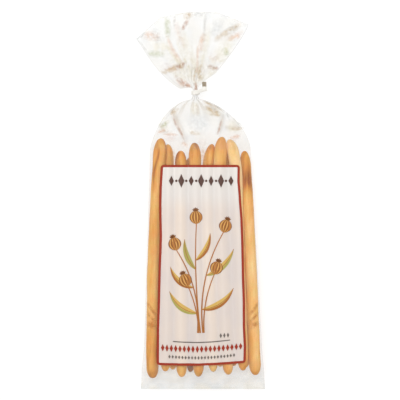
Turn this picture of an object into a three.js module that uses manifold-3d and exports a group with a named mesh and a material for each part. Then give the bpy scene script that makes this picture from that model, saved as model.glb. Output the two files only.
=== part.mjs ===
// Bag of grissini breadsticks: a clear film bag, tied at the neck, with long
// breadsticks standing side by side behind a printed panel.
//
// The bag lies on its back. +Z points out of its front, +Y towards the tied
// neck and the open pleated top, +X to the right as the front is looked at.
// All sizes are in millimetres.

import * as THREE from 'three';
import Module from 'manifold-3d';

// Driving dimensions

const BAG_LENGTH = 317.6;          // bottom edge to the highest point of the pleated top
const BOTTOM_Y = -BAG_LENGTH / 2;
const SEAL_HEIGHT = 4.2;           // flat heat seal along the bottom edge
const SEAL_HALF_THICKNESS = 0.6;
const SEAL_RISE = 7.5;             // height of the seal's middle plane over the floor
const FOOT_LENGTH = 14;            // the film opens from the seal to full depth over this

const SHOULDER_Y = 42;             // the straight sides end here and the dome begins
const DOME_TOP_Y = 84.8;           // the dome has closed to the neck here
const SHOULDER_HALF_WIDTH = 42.2;
const SIDE_TAPER = 0.045;          // half width gained per millimetre towards the bottom
const BOTTOM_FLARE = 0.95;         // extra half width of the last stretch above the seal
const FLARE_START_Y = -126;
const HALF_DEPTH_BOTTOM = 9.7;     // half the bag's depth over the feet of the sticks
const HALF_DEPTH_SHOULDER = 10.6;
const DOME_OUTLINE_POWER = 1.62;   // superellipse power of the dome seen from the front
const DOME_DEPTH_POWER = 1.35;     // the same for the dome seen from the side

const NECK = { x: -4.9, y: 87.6, z: 11.5 };   // the middle of the neck; the pleats fan out from it
const NECK_RADIUS = 2.2;
const NECK_TOP_Y = 91.8;           // the plain round part of the neck ends here
const NECK_SKIRT = 1.3;            // the film widens by this from the tie down to the dome
const NECK_SKIRT_TOP_Y = 88.2;
const SIDE_LEAN = 0.0135;          // the middle line leans left by this much per millimetre upwards
const LEAN_START_Y = -115;         // below this the middle line is straight

const STICK_PRESS_RADIUS = 9;      // curve of the film where a stick presses into it
const FILM_DIP = 2.2;              // deepest the film sinks between two sticks
const TIP_ROUNDING = 4;            // a stick's end curves away over this length
const TIP_FADE_RADIUS = 26;        // curve along Y with which the film leaves a stick's tip
const LOOSE_FILM_Y = [48, 72];     // the film loses touch with the sticks between these

const DOME_PLEATS = 11;            // soft pleats round the dome below the neck
const DOME_PLEAT_DEPTH = 0.8;
const DOME_PLEATS_Y = [56, 74, 77, 84];   // they rise over the first stretch and end over the last
const FAN_REACH = 70;              // usual distance of the mouth from the middle of the neck
const FAN_PLEATS = 8;              // pleats across the flared top
const FAN_PLEAT_DEPTH = 2.7;
const MOUTH_PLEAT_SHARE = 0.16;    // what is left of that depth at the mouth
const FAN_LAYER_GAP = 4.6;         // front film to back film in the flared top
const MOUTH_THICKNESS = 2.4;
const FAN_DROOP = 2;               // the open end hangs this much below the neck
const FAN_SIDE_BOW = { left: 25, right: 7 };   // degrees its side edges bow out near the neck

const PANEL_TOP_Y = 29.6;
const PANEL_BOTTOM_Y = -138.4;
const BORDER_WIDTH = 1.8;
const PRINT_THICKNESS = 0.4;
const PRINT_CLEARANCE = 0.32;      // print over film, and panel beside border

const TIE_WIDTH = 3.4;             // of its ribbon
const TIE_THICKNESS = 0.5;
const TIE_CLEARANCE = 0.32;        // tie over film, and one turn of the ribbon over the other

const FRONT_STEPS = 60;            // faces across the front of every ring of the bag
const BACK_STEPS = 30;
const RING_POINTS = FRONT_STEPS + BACK_STEPS;

// The eight sticks that press into the front film, left to right: where the
// lower and the upper tip of each one is, and how far its middle bows sideways.
const FRONT_STICKS = [
  { foot: [-39.8, -149.6], head: [-33.3, 52.0], bow: -2.4 },
  { foot: [-30.0, -143.7], head: [-28.3, 46.7], bow: -0.6 },
  { foot: [-16.1, -148.5], head: [-16.9, 41.6], bow: -0.8 },
  { foot: [-2.2, -148.2], head: [-5.5, 48.3], bow: 0.6 },
  { foot: [10.0, -144.0], head: [9.2, 47.3], bow: -2.2 },
  { foot: [22.9, -146.4], head: [18.4, 53.3], bow: -1.6 },
  { foot: [35.1, -143.0], head: [26.2, 50.6], bow: 0.4 },
  { foot: [45.6, -146.8], head: [36.6, 41.6], bow: 0.3 },
];

// The corners of the open mouth as the front is looked at, from the neck.
const MOUTH_CORNERS = [[-48.7, 48.3], [-29.7, 66.4], [-6.1, 71.1], [17.4, 70.1], [43.4, 60.5]];

// Small helpers

const lerp = (a, b, t) => a + (b - a) * t;
const clamp01 = (t) => Math.min(1, Math.max(0, t));
const radians = (degrees) => degrees * Math.PI / 180;

function smoothStep(from, to, value) {
  const t = clamp01((value - from) / (to - from));
  return t * t * (3 - 2 * t);
}

// 1 at the start of a dome and 0 at its end, falling as a superellipse.
function domeFall(y, power) {
  const t = clamp01((y - SHOULDER_Y) / (DOME_TOP_Y - SHOULDER_Y));
  return (1 - t ** power) ** (1 / power);
}

// The bag's body: its cross-section at every height

const SEAL_TOP_Y = BOTTOM_Y + SEAL_HEIGHT;

// 0 at the seal, 1 where the film has opened to full depth.
function footOpening(y) {
  const t = clamp01((y - SEAL_TOP_Y) / FOOT_LENGTH);
  return (1 - (1 - t) ** 1.5) ** (1 / 1.5);
}

// The neck widens a little where it runs into the dome.
function neckRadius(y) {
  return NECK_RADIUS + NECK_SKIRT * (1 - smoothStep(DOME_TOP_Y, NECK_SKIRT_TOP_Y, y));
}

function halfWidth(y) {
  const side = SHOULDER_HALF_WIDTH + SIDE_TAPER * (SHOULDER_Y - Math.min(y, SHOULDER_Y));
  const flare = BOTTOM_FLARE * smoothStep(FLARE_START_Y, BOTTOM_Y + FOOT_LENGTH, y);
  return neckRadius(y) + (side + flare - neckRadius(y)) * domeFall(y, DOME_OUTLINE_POWER);
}

function halfDepth(y) {
  const along = clamp01((y - BOTTOM_Y) / (SHOULDER_Y - BOTTOM_Y));
  const full = lerp(HALF_DEPTH_BOTTOM, HALF_DEPTH_SHOULDER, along);
  const closing = neckRadius(y) + (full - neckRadius(y)) * domeFall(y, DOME_DEPTH_POWER);
  return lerp(SEAL_HALF_THICKNESS, closing, footOpening(y));
}

// The bag's back lies flat on the floor, so its middle is as high as it is half
// deep, but for the seal and for the neck, which hang free.
function middleHeight(y) {
  const body = Math.max(halfDepth(y), lerp(0, NECK.z, smoothStep(SHOULDER_Y, DOME_TOP_Y, y)));
  return lerp(SEAL_RISE, body, footOpening(y));
}

function middleX(y) {
  const body = -SIDE_LEAN * Math.min(Math.max(y, LEAN_START_Y), SHOULDER_Y);
  const t = clamp01((y - SHOULDER_Y) / (DOME_TOP_Y - SHOULDER_Y));
  return lerp(body, NECK.x, t ** 2.4);
}

// Where a stick's middle line is at a height.
function stickMiddle({ foot, head, bow }, y) {
  const t = (y - foot[1]) / (head[1] - foot[1]);
  return lerp(foot[0], head[0], t) + bow * 4 * clamp01(t) * (1 - clamp01(t));
}

// How far the film sinks below the tops of the sticks at a point of the front:
// nothing over the middle of a stick, most between two of them, and fading away
// past their tips.
function filmDip(x, y) {
  const blend = 0.35;
  let nearness = 0;
  FRONT_STICKS.forEach((stick, index) => {
    const { foot, head } = stick;
    const middle = stickMiddle(stick, y);
    const outermost = (index === 0 && x < middle)
      || (index === FRONT_STICKS.length - 1 && x > middle);
    const across = outermost ? 0 : x - middle;
    const past = Math.max(0, y - head[1] + TIP_ROUNDING, foot[1] + TIP_ROUNDING - y);
    const sink = across ** 2 / (2 * STICK_PRESS_RADIUS) + past ** 2 / (2 * TIP_FADE_RADIUS);
    nearness += Math.exp(-sink / blend);
  });
  const sink = Math.max(0, -blend * Math.log(nearness));
  const limited = FILM_DIP * (1 - Math.exp(-sink / FILM_DIP));
  const bottomFade = smoothStep(SEAL_TOP_Y, SEAL_TOP_Y + FOOT_LENGTH / 2, y);
  const topFade = 1 - smoothStep(...LOOSE_FILM_Y, y);
  return limited * bottomFade * topFade;
}

// Height of the front film over the floor, without the pleats of the dome.
function frontHeight(x, y) {
  const depth = halfDepth(y);
  const flat = halfWidth(y) - depth;
  const past = Math.abs(x - middleX(y)) - flat;
  const round = past > 0 ? Math.sqrt(Math.max(0, depth ** 2 - past ** 2)) : depth;
  return middleHeight(y) + round - filmDip(x, y) * round / depth;
}

// One point of a cross-section with round sides and a flat front and back.
// `along` runs from 0 at the left side to 1 at the right side.
function sectionPoint(width, depth, along) {
  const flat = width - depth;
  const quarter = Math.PI * depth / 2;
  const travelled = along * 2 * (quarter + flat);
  const mirrored = Math.min(travelled, 2 * (quarter + flat) - travelled);
  const sign = travelled < quarter + flat ? -1 : 1;
  const angle = Math.min(mirrored / depth, Math.PI / 2);
  const run = Math.max(0, mirrored - quarter);
  return {
    x: sign * (flat + depth * Math.cos(angle) - run),
    z: depth * Math.sin(angle),
    nx: sign * Math.cos(angle),
    nz: Math.sin(angle),
  };
}

// Every ring starts at the left side, runs over the front to the right side
// and comes back underneath.
function ringStation(index) {
  const front = index <= FRONT_STEPS;
  const along = front ? index / FRONT_STEPS : 1 - (index - FRONT_STEPS) / BACK_STEPS;
  return { front, along };
}

function bodyRing(y) {
  const width = halfWidth(y);
  const depth = Math.min(halfDepth(y), width);
  const [start, full, end, gone] = DOME_PLEATS_Y;
  const pleatDepth = DOME_PLEAT_DEPTH * smoothStep(start, full, y) * (1 - smoothStep(end, gone, y));
  const ring = [];
  for (let index = 0; index < RING_POINTS; index += 1) {
    const { front, along } = ringStation(index);
    const p = sectionPoint(width, depth, along);
    const turn = front ? along / 2 : 1 - along / 2;
    const pleat = pleatDepth * Math.cos(2 * Math.PI * DOME_PLEATS * turn + 1.4 * Math.sin(6 * turn));
    const x = middleX(y) + p.x + p.nx * pleat;
    const dip = front ? filmDip(middleX(y) + p.x, y) * p.nz : 0;
    const rise = (front ? 1 : -1) * (p.z + p.nz * pleat - dip);
    ring.push([x, y, middleHeight(y) + rise]);
  }
  return ring;
}

// The flared top: rings that open like a fan from the neck

// Distance from the neck to the mouth's edge in a direction, measured from +Y.
function mouthDistance(angle) {
  const [dx, dy] = [Math.sin(angle), Math.cos(angle)];
  for (let k = 1; k < MOUTH_CORNERS.length; k += 1) {
    const [ax, ay] = MOUTH_CORNERS[k - 1];
    const [bx, by] = MOUTH_CORNERS[k];
    const last = k === MOUTH_CORNERS.length - 1;
    if (last || Math.atan2(bx, by) >= angle) {
      return (ax * by - ay * bx) / (dx * (by - ay) - dy * (bx - ax));
    }
  }
  return 0;
}

const LEFT_CORNER_ANGLE = Math.atan2(...MOUTH_CORNERS[0]);
const RIGHT_CORNER_ANGLE = Math.atan2(...MOUTH_CORNERS[MOUTH_CORNERS.length - 1]);

// The fan's two side edges bow outwards between the neck and the mouth.
function fanAngle(share, along) {
  const reach = FAN_REACH * share;
  const left = LEFT_CORNER_ANGLE - radians(FAN_SIDE_BOW.left) * (1 - share) ** 1.3;
  const right = RIGHT_CORNER_ANGLE + radians(FAN_SIDE_BOW.right) * (1 - share) ** 0.7;
  const leftOpened = lerp(0.6, 1, smoothStep(4, 15, reach));
  const rightOpened = lerp(0.62, 1, smoothStep(5, 25, reach));
  return lerp(left * leftOpened, right * rightOpened, along);
}

// Uneven pleats, the same in the front and the back film.
function fanPleat(along) {
  const phase = along + 0.018 * Math.sin(2 * Math.PI * 2.3 * along + 0.6);
  const height = 0.8 + 0.2 * Math.cos(2 * Math.PI * 1.7 * along);
  return height * Math.cos(2 * Math.PI * FAN_PLEATS * phase);
}

function fanRing(share) {
  const reach = FAN_REACH * share;
  const opened = smoothStep(4, 13, reach);
  const flattened = lerp(1, MOUTH_PLEAT_SHARE, smoothStep(0.5, 1, share));
  const pleatDepth = FAN_PLEAT_DEPTH * smoothStep(5, 20, reach) * flattened;
  const gap = lerp(FAN_LAYER_GAP, MOUTH_THICKNESS, smoothStep(0.4, 1, share));
  const ring = [];
  for (let index = 0; index < RING_POINTS; index += 1) {
    const { front, along } = ringStation(index);
    const side = front ? 1 : -1;
    const angle = fanAngle(share, along);
    const distance = Math.max(share * mouthDistance(angle), NECK_TOP_Y - NECK.y);
    const across = 2 * along - 1;
    const layer = side * gap / 2 * Math.sqrt(1 - across ** 8);
    const height = NECK.z - FAN_DROOP * share + pleatDepth * fanPleat(along) + layer;
    const round = sectionPoint(NECK_RADIUS, NECK_RADIUS, along);
    ring.push([
      lerp(NECK.x + round.x, NECK.x + distance * Math.sin(angle), opened),
      lerp(NECK.y + reach, NECK.y + distance * Math.cos(angle), opened),
      lerp(NECK.z + side * round.z, height, opened),
    ]);
  }
  return ring;
}

// Closed bodies from rings

function meshFrom(points, triangles) {
  const geometry = new THREE.BufferGeometry();
  geometry.setAttribute('position', new THREE.Float32BufferAttribute(points.flat(), 3));
  geometry.setIndex(triangles.flat());
  geometry.computeVertexNormals();
  return geometry;
}

// Joins the front half of a ring to its back half, which closes the body there.
function closeRing(first, atBottom) {
  const triangles = [];
  let front = 0;
  let back = 0;
  const backPoint = (k) => first + (k === 0 ? 0 : RING_POINTS - k);
  while (front < FRONT_STEPS || back < BACK_STEPS) {
    const frontNext = (front + 1) / FRONT_STEPS;
    const backNext = (back + 1) / BACK_STEPS;
    const advanceFront = back === BACK_STEPS || (front < FRONT_STEPS && frontNext <= backNext);
    const a = first + front;
    const b = backPoint(back);
    const c = advanceFront ? first + front + 1 : backPoint(back + 1);
    if (a !== b && b !== c && a !== c) {
      triangles.push(atBottom ? [a, b, c] : [a, c, b]);
    }
    if (advanceFront) {
      front += 1;
    } else {
      back += 1;
    }
  }
  return triangles;
}

function bodyFromRings(rings) {
  const triangles = [];
  for (let row = 1; row < rings.length; row += 1) {
    for (let k = 0; k < RING_POINTS; k += 1) {
      const next = (k + 1) % RING_POINTS;
      const [a, b] = [(row - 1) * RING_POINTS + k, (row - 1) * RING_POINTS + next];
      const [c, d] = [row * RING_POINTS + next, row * RING_POINTS + k];
      triangles.push([a, b, c], [a, c, d]);
    }
  }
  triangles.push(...closeRing(0, true), ...closeRing((rings.length - 1) * RING_POINTS, false));
  return meshFrom(rings.flat(), triangles);
}

// Heights from one value to another in even steps, without the first.
function stepsTo(from, to, count) {
  return Array.from({ length: count }, (_, k) => lerp(from, to, (k + 1) / count));
}

function bagGeometry() {
  const heights = [
    BOTTOM_Y,
    ...stepsTo(BOTTOM_Y, SEAL_TOP_Y, 1),
    ...stepsTo(SEAL_TOP_Y, SEAL_TOP_Y + FOOT_LENGTH, 7),
    ...stepsTo(SEAL_TOP_Y + FOOT_LENGTH, PANEL_TOP_Y, 10),
    ...stepsTo(PANEL_TOP_Y, 56, 8),
    ...stepsTo(56, 76, 8),
    ...stepsTo(76, DOME_TOP_Y, 6),
    ...stepsTo(DOME_TOP_Y, NECK_SKIRT_TOP_Y, 3),
    NECK_TOP_Y,
  ];
  const shares = [0.075, 0.1, 0.13, 0.165, 0.21, 0.27, 0.35, 0.44, 0.54, 0.64, 0.74, 0.83, 0.92, 1];
  return bodyFromRings([...heights.map(bodyRing), ...shares.map(fanRing)]);
}

// The printed panel and its border: thin skins over the front film

// Left (side 0) or right (side 1) edge of the printed field at a height.
function panelEdge(side, y) {
  return side === 0 ? -33.8 - 0.0204 * (PANEL_TOP_Y - y) : 31.4 + 0.0312 * (PANEL_TOP_Y - y);
}

// A point of the printed field. `across` and `up` run from 0 to 1 inside the
// margin, which is taken off all four sides.
function panelPoint(across, up, margin, height) {
  const y = lerp(PANEL_BOTTOM_Y + margin, PANEL_TOP_Y - margin, up);
  const x = lerp(panelEdge(0, y) + margin, panelEdge(1, y) - margin, across);
  return [x, y, frontHeight(x, y) + height];
}

function panelGeometry() {
  const columns = 38;
  const rows = 12;
  const margin = BORDER_WIDTH + PRINT_CLEARANCE;
  const points = [];
  for (const height of [PRINT_CLEARANCE, PRINT_CLEARANCE + PRINT_THICKNESS]) {
    for (let row = 0; row <= rows; row += 1) {
      for (let column = 0; column <= columns; column += 1) {
        points.push(panelPoint(column / columns, row / rows, margin, height));
      }
    }
  }
  const upper = (rows + 1) * (columns + 1);
  const at = (row, column, layer) => layer * upper + row * (columns + 1) + column;
  const triangles = [];
  const quad = (a, b, c, d) => triangles.push([a, b, c], [a, c, d]);
  for (let row = 0; row < rows; row += 1) {
    for (let column = 0; column < columns; column += 1) {
      const corners = [[row, column], [row, column + 1], [row + 1, column + 1], [row + 1, column]];
      quad(...corners.map(([r, c]) => at(r, c, 1)));
      quad(...corners.reverse().map(([r, c]) => at(r, c, 0)));
    }
  }
  for (let column = 0; column < columns; column += 1) {
    quad(at(0, column, 0), at(0, column + 1, 0), at(0, column + 1, 1), at(0, column, 1));
    quad(at(rows, column + 1, 0), at(rows, column, 0), at(rows, column, 1), at(rows, column + 1, 1));
  }
  for (let row = 0; row < rows; row += 1) {
    quad(at(row + 1, 0, 0), at(row, 0, 0), at(row, 0, 1), at(row + 1, 0, 1));
    quad(at(row, columns, 0), at(row + 1, columns, 0), at(row + 1, columns, 1), at(row, columns, 1));
  }
  return meshFrom(points, triangles);
}

function borderGeometry() {
  const columns = 38;
  const rows = 12;
  const stations = [];
  for (let k = 0; k < columns; k += 1) {
    stations.push([k / columns, 0]);
  }
  for (let k = 0; k < rows; k += 1) {
    stations.push([1, k / rows]);
  }
  for (let k = columns; k > 0; k -= 1) {
    stations.push([k / columns, 1]);
  }
  for (let k = rows; k > 0; k -= 1) {
    stations.push([0, k / rows]);
  }
  const low = PRINT_CLEARANCE;
  const high = PRINT_CLEARANCE + PRINT_THICKNESS;
  const corners = [[0, low], [0, high], [BORDER_WIDTH, high], [BORDER_WIDTH, low]];
  const points = stations.flatMap(
    ([across, up]) => corners.map(([margin, height]) => panelPoint(across, up, margin, height)),
  );
  const triangles = [];
  stations.forEach((_, station) => {
    const here = station * 4;
    const next = ((station + 1) % stations.length) * 4;
    for (let k = 0; k < 4; k += 1) {
      const other = (k + 1) % 4;
      triangles.push([here + k, next + k, next + other], [here + k, next + other, here + other]);
    }
  });
  return meshFrom(points, triangles);
}

// The tie: a flat ribbon wound once round the neck, with two short ends

// A ribbon along a path. Each station gives its middle, the direction of its
// width and the direction of its thickness.
function ribbonGeometry(stations) {
  const points = [];
  for (const { middle, wide, thick, width } of stations) {
    for (const [u, v] of [[-1, -1], [1, -1], [1, 1], [-1, 1]]) {
      const p = middle.clone()
        .addScaledVector(wide, u * width / 2)
        .addScaledVector(thick, v * TIE_THICKNESS / 2);
      points.push(p.toArray());
    }
  }
  const triangles = [];
  const quad = (a, b, c, d) => triangles.push([a, b, c], [a, c, d]);
  for (let station = 1; station < stations.length; station += 1) {
    const here = (station - 1) * 4;
    const next = station * 4;
    for (let k = 0; k < 4; k += 1) {
      const other = (k + 1) % 4;
      quad(here + k, here + other, next + other, next + k);
    }
  }
  const end = (stations.length - 1) * 4;
  quad(3, 2, 1, 0);
  quad(end, end + 1, end + 2, end + 3);
  return meshFrom(points, triangles);
}

const BAND_MIDDLE_Y = 89.9;

function tieBandStations() {
  const inner = NECK_RADIUS + TIE_CLEARANCE + TIE_THICKNESS / 2;
  const steps = 34;
  const stations = [];
  for (let k = 0; k <= steps; k += 1) {
    const share = k / steps;
    const angle = radians(lerp(-400, 78, share));
    const lapped = smoothStep(radians(-110), radians(-42), angle);
    const radius = inner + (TIE_THICKNESS + TIE_CLEARANCE) * lapped;
    const outwards = new THREE.Vector3(Math.sin(angle), 0, Math.cos(angle));
    stations.push({
      middle: new THREE.Vector3(NECK.x, BAND_MIDDLE_Y + 0.4 * share, NECK.z).addScaledVector(outwards, radius),
      wide: new THREE.Vector3(0, 1, 0),
      thick: outwards,
      width: TIE_WIDTH,
    });
  }
  return stations;
}

// The end that runs off to the right, seen flat from the front.
function tieSideStations() {
  const start = new THREE.Vector3(NECK.x - 0.3, BAND_MIDDLE_Y + 0.3, NECK.z + 3.6);
  const end = new THREE.Vector3(4.6, 93.4, NECK.z + 6.2);
  const along = end.clone().sub(start).normalize();
  const steps = 6;
  return Array.from({ length: steps + 1 }, (_, k) => {
    const share = k / steps;
    const wide = new THREE.Vector3(-0.25 * share, 1, 0.35 * Math.sin(Math.PI * share));
    wide.addScaledVector(along, -wide.dot(along)).normalize();
    return {
      middle: start.clone().lerp(end, share),
      wide,
      thick: along.clone().cross(wide).normalize(),
      width: TIE_WIDTH,
    };
  });
}

// The end that stands up from it.
function tieUpperStations() {
  const start = new THREE.Vector3(2.4, 92.2, NECK.z + 5.7);
  const end = new THREE.Vector3(1.8, 99.2, NECK.z + 6.6);
  const along = end.clone().sub(start).normalize();
  const steps = 5;
  return Array.from({ length: steps + 1 }, (_, k) => {
    const share = k / steps;
    const wide = new THREE.Vector3(-1, -0.08, -0.3 * Math.sin(Math.PI * share));
    wide.addScaledVector(along, -wide.dot(along)).normalize();
    return {
      middle: start.clone().lerp(end, share),
      wide,
      thick: along.clone().cross(wide).normalize(),
      width: TIE_WIDTH + 0.3,
    };
  });
}

// Joining

const manifold = await Module();
manifold.setup();

function toSolid(geometry) {
  return new manifold.Manifold(new manifold.Mesh({
    numProp: 3,
    vertProperties: new Float32Array(geometry.attributes.position.array),
    triVerts: new Uint32Array(geometry.index.array),
  }));
}

function fromSolid(solid) {
  const mesh = solid.getMesh();
  const geometry = new THREE.BufferGeometry();
  geometry.setAttribute('position', new THREE.Float32BufferAttribute(mesh.vertProperties, 3));
  geometry.setIndex([...mesh.triVerts]);
  geometry.computeVertexNormals();
  return geometry;
}

function tieGeometry() {
  const parts = [tieBandStations(), tieSideStations(), tieUpperStations()];
  return fromSolid(manifold.Manifold.union(parts.map((part) => toSolid(ribbonGeometry(part)))));
}

// The object

function named(name, geometry, color, roughness) {
  const material = new THREE.MeshStandardMaterial({ color, roughness, metalness: 0 });
  material.name = name;
  const mesh = new THREE.Mesh(geometry, material);
  mesh.name = name;
  return mesh;
}

const bagOfBreadsticks = new THREE.Group();
bagOfBreadsticks.name = 'bag_of_breadsticks';
bagOfBreadsticks.add(named('bag', bagGeometry(), '#e3c49a', 0.3));
bagOfBreadsticks.add(named('label_panel', panelGeometry(), '#ead9cf', 0.4));
bagOfBreadsticks.add(named('label_border', borderGeometry(), '#9c3a26', 0.4));
bagOfBreadsticks.add(named('neck_tie', tieGeometry(), '#eee6d6', 0.5));

export default bagOfBreadsticks;
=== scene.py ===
# Bag of grissini breadsticks, lying on its back under soft light: clear film round
# long breadsticks, a printed field with a border on the front, a tie at the neck.
# Shapes are worked out in millimetres and turned to metres when a mesh is made.

import math
import random

import bmesh
import bpy
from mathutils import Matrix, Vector, noise


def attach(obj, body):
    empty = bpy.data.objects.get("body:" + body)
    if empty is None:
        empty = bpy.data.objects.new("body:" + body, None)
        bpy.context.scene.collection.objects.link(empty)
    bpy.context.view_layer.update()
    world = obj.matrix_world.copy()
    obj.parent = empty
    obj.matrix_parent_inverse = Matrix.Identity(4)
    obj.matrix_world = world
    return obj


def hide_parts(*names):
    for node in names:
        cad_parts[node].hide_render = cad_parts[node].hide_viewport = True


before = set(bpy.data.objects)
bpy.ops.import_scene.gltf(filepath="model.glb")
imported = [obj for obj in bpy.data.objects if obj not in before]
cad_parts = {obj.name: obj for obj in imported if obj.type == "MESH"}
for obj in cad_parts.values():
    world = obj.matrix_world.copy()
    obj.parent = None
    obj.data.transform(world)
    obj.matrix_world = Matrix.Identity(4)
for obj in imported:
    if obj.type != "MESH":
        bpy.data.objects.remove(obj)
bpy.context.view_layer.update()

MM = 0.001


# Sizes shared with the solid model

BAG_LENGTH = 317.6
BOTTOM_Y = -BAG_LENGTH / 2
SEAL_HEIGHT = 4.2
SEAL_TOP_Y = BOTTOM_Y + SEAL_HEIGHT
SEAL_RISE = 7.5
FOOT_LENGTH = 14
FOOT_OPENING_POWER = 1.5
SHOULDER_Y = 42
DOME_TOP_Y = 84.8
SHOULDER_HALF_WIDTH = 42.2
SIDE_TAPER = 0.045
BOTTOM_FLARE = 0.95
FLARE_START_Y = -126
HALF_DEPTH_BOTTOM = 9.7
HALF_DEPTH_SHOULDER = 10.6
DOME_OUTLINE_POWER = 1.62
DOME_DEPTH_POWER = 1.35
DOME_LEAN_POWER = 2.4
NECK = (-4.9, 87.6, 11.5)
NECK_RADIUS = 2.2
NECK_TOP_Y = 91.8
NECK_SKIRT = 1.3
NECK_SKIRT_TOP_Y = 88.2
SIDE_LEAN = 0.0135
LEAN_START_Y = -115
STICK_PRESS_RADIUS = 9
STICK_PRESS_BLEND = 0.35
FILM_DIP = 2.2
TIP_ROUNDING = 4
TIP_FADE_RADIUS = 26
LOOSE_FILM_Y = (48, 72)
DOME_PLEATS = 11
DOME_PLEAT_DEPTH = 0.8
DOME_PLEATS_Y = (56, 74, 77, 84)
FAN_REACH = 70
FAN_PLEATS = 8
FAN_PLEAT_DEPTH = 2.7
FAN_OPENS_FROM_NECK = (4, 13)
FAN_PLEATS_FROM_NECK = (5, 20)
MOUTH_PLEAT_SHARE = 0.16
FAN_LAYER_GAP = 4.6
MOUTH_THICKNESS = 2.4
FAN_DROOP = 2
MOUTH_CORNERS = ((-49.7, 48.1), (-29.7, 66.4), (-6.1, 71.1), (18.2, 70.6), (44.8, 60.4))
PANEL_TOP_Y = 29.6
PANEL_BOTTOM_Y = -138.4
BORDER_WIDTH = 2
# How each side of the flared top opens: how far it bows outwards in degrees, the
# power by which that fades, the share of its full angle that it has at the neck,
# and how far from the neck it starts and stops opening.
LEFT_SIDE = dict(corner=MOUTH_CORNERS[0], bow=-25, fading=1.3, at_neck=0.6, opens=(4, 15))
RIGHT_SIDE = dict(corner=MOUTH_CORNERS[-1], bow=7, fading=0.7, at_neck=0.62, opens=(5, 25))

# Sizes of what only shows here

BODY_HAZE = 0.12                # share of light that one layer of film stops
DOME_HAZE = 0.11
FAN_HAZE = 0.08
SEAL_HALF_DEPTH = 0.15          # each film of the seal lies this far from its middle
PRINT_HEIGHT = 0.35             # printed field over the film
INK_HEIGHT = 0.5                # inks over the film
INK_LAYER = 0.03                # each ink over the one printed before it
CORNER_RADIUS = 2.6             # of the printed border
CONTACT_DIP = 0.6               # film this far below the sticks' tops is off them
STICK_BAND_HALF_WIDTH = 5.2           # of the warm band over a stick, lit there by painted light
STICK_GAP = 0.3                 # film to stick
FOOT_DROOP_LENGTH = 45          # the lower ends sink over this length, under the closing film
HOOK_LENGTH = 36                # a crooked upper end turns aside over this length

# The sticks behind the front film, left to right at their lower ends: lower tip,
# upper tip, sideways bow of the middle, how far the upper tip is turned aside from
# there, radius near the lower and the upper tip; then, for the lower end, the
# middle and the upper end, how far it lies below the film and how dark it is baked.
FRONT_STICKS = (
    dict(foot=(-40.6, -149.6), head=(-33.6, 52), bow=-2.3, hook=0, radii=(5.1, 5.6),
         sink=(0.2, 0.2, 0.2), bake=(0.6, 0.47, 0.7)),
    dict(foot=(-30, -143.7), head=(-28, 47.2), bow=1.1, hook=0, radii=(4.3, 4.9),
         sink=(1.2, 3.4, 10.5), bake=(0.36, 0.4, 0.34)),
    dict(foot=(-16.1, -148.5), head=(-16.9, 41.6), bow=-0.8, hook=0, radii=(4.6, 5),
         sink=(0, 0, 0), bake=(0.44, 0.6, 0.78)),
    dict(foot=(-2.2, -148.2), head=(-5.5, 48.3), bow=0.2, hook=0, radii=(4.6, 5.2),
         sink=(0, 0, 0), bake=(0.55, 0.7, 0.78)),
    dict(foot=(10.4, -144), head=(5.3, 47.3), bow=-2, hook=3.8, radii=(4.3, 4.6),
         sink=(0.6, 0.6, 4.4), bake=(0.5, 0.5, 0.56)),
    dict(foot=(22.9, -146.4), head=(15.2, 53.3), bow=-1.6, hook=2.3, radii=(4.7, 5.3),
         sink=(0, 0, 0), bake=(0.5, 0.5, 0.62)),
    dict(foot=(35.1, -143), head=(28.3, 51.2), bow=0.3, hook=-4.2, radii=(4.5, 5.1),
         sink=(0.3, 0, 1.8), bake=(0.45, 0.4, 0.28)),
    dict(foot=(45.6, -146.8), head=(36.7, 41.6), bow=0.2, hook=0, radii=(5, 4.8),
         sink=(0, 0.2, 1.2), bake=(0.62, 0.4, 0.34)),
)
# A dark line painted along the first stick's crust, as shade where it meets a stick behind it, over a
# shallow groove: points seen from the front.
SHADE_LINE = ((-34.8, 43), (-35.4, 39), (-37.2, 33), (-39, 27), (-39.9, 18), (-40.2, 8))
SHADE_LINE_WIDTH = 1.2
SHADE_LINE_GROOVE = 0.25
SHADE_LINE_DARKENING = 0.3
# The last stick is toasted brown at its upper end: how much, and how far from its tip
# that begins to show and is full.
TOASTED_BAKE = 0.35
TOASTED_FROM_TIP = (44, 22)

# The sticks behind those, which lie on the back film. The first is a short piece.
REAR_STICKS = (
    dict(foot=(-34, -139.5), head=(-33.6, -40), bow=-0.2, radii=(4, 3.8), bake=(0.4, 0.5, 0.5)),
    dict(foot=(-23.9, -142.8), head=(-18.6, 30), bow=0.8, radii=(4.3, 4.2), bake=(0.3, 0.5, 0.6)),
    # The third is baked darkest at its lower tip, which shows between two front sticks: painted shade in
    # that gap.
    dict(foot=(-9, -144.9), head=(-9.6, 36), bow=0.3, radii=(3.6, 4.4), bake=(1.15, 0.8, 0.7)),
    dict(foot=(3.8, -139), head=(0.4, 25), bow=0.2, radii=(4.2, 4.4), bake=(0.5, 0.55, 0.5)),
    dict(foot=(16.2, -140.5), head=(10.6, 40), bow=-0.4, radii=(4.2, 4.4), bake=(0.45, 0.4, 0.45)),
    dict(foot=(27.4, -140), head=(20.2, 47), bow=0.2, radii=(4.2, 4.3), bake=(0.5, 0.45, 0.5)),
    dict(foot=(37.6, -141), head=(29.2, 36), bow=0.2, radii=(4.2, 4.2), bake=(0.55, 0.5, 0.6)),
)


# Small helpers

def lerp(a, b, t):
    return a + (b - a) * t


def clamp01(t):
    return min(1.0, max(0.0, t))


def signed_power(value, power):
    return math.copysign(abs(value) ** power, value)


def smooth_step(start, end, value):
    t = clamp01((value - start) / (end - start))
    return t * t * (3 - 2 * t)


def rounding(t, power):
    """Rises from 0 to 1 as a round end does, the fuller the higher the power."""
    return max(0.0, 1 - (1 - t) ** power) ** (1 / power)


def steps_to(start, end, count):
    """Heights from one value to another in even steps, without the first."""
    return [lerp(start, end, (k + 1) / count) for k in range(count)]


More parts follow.
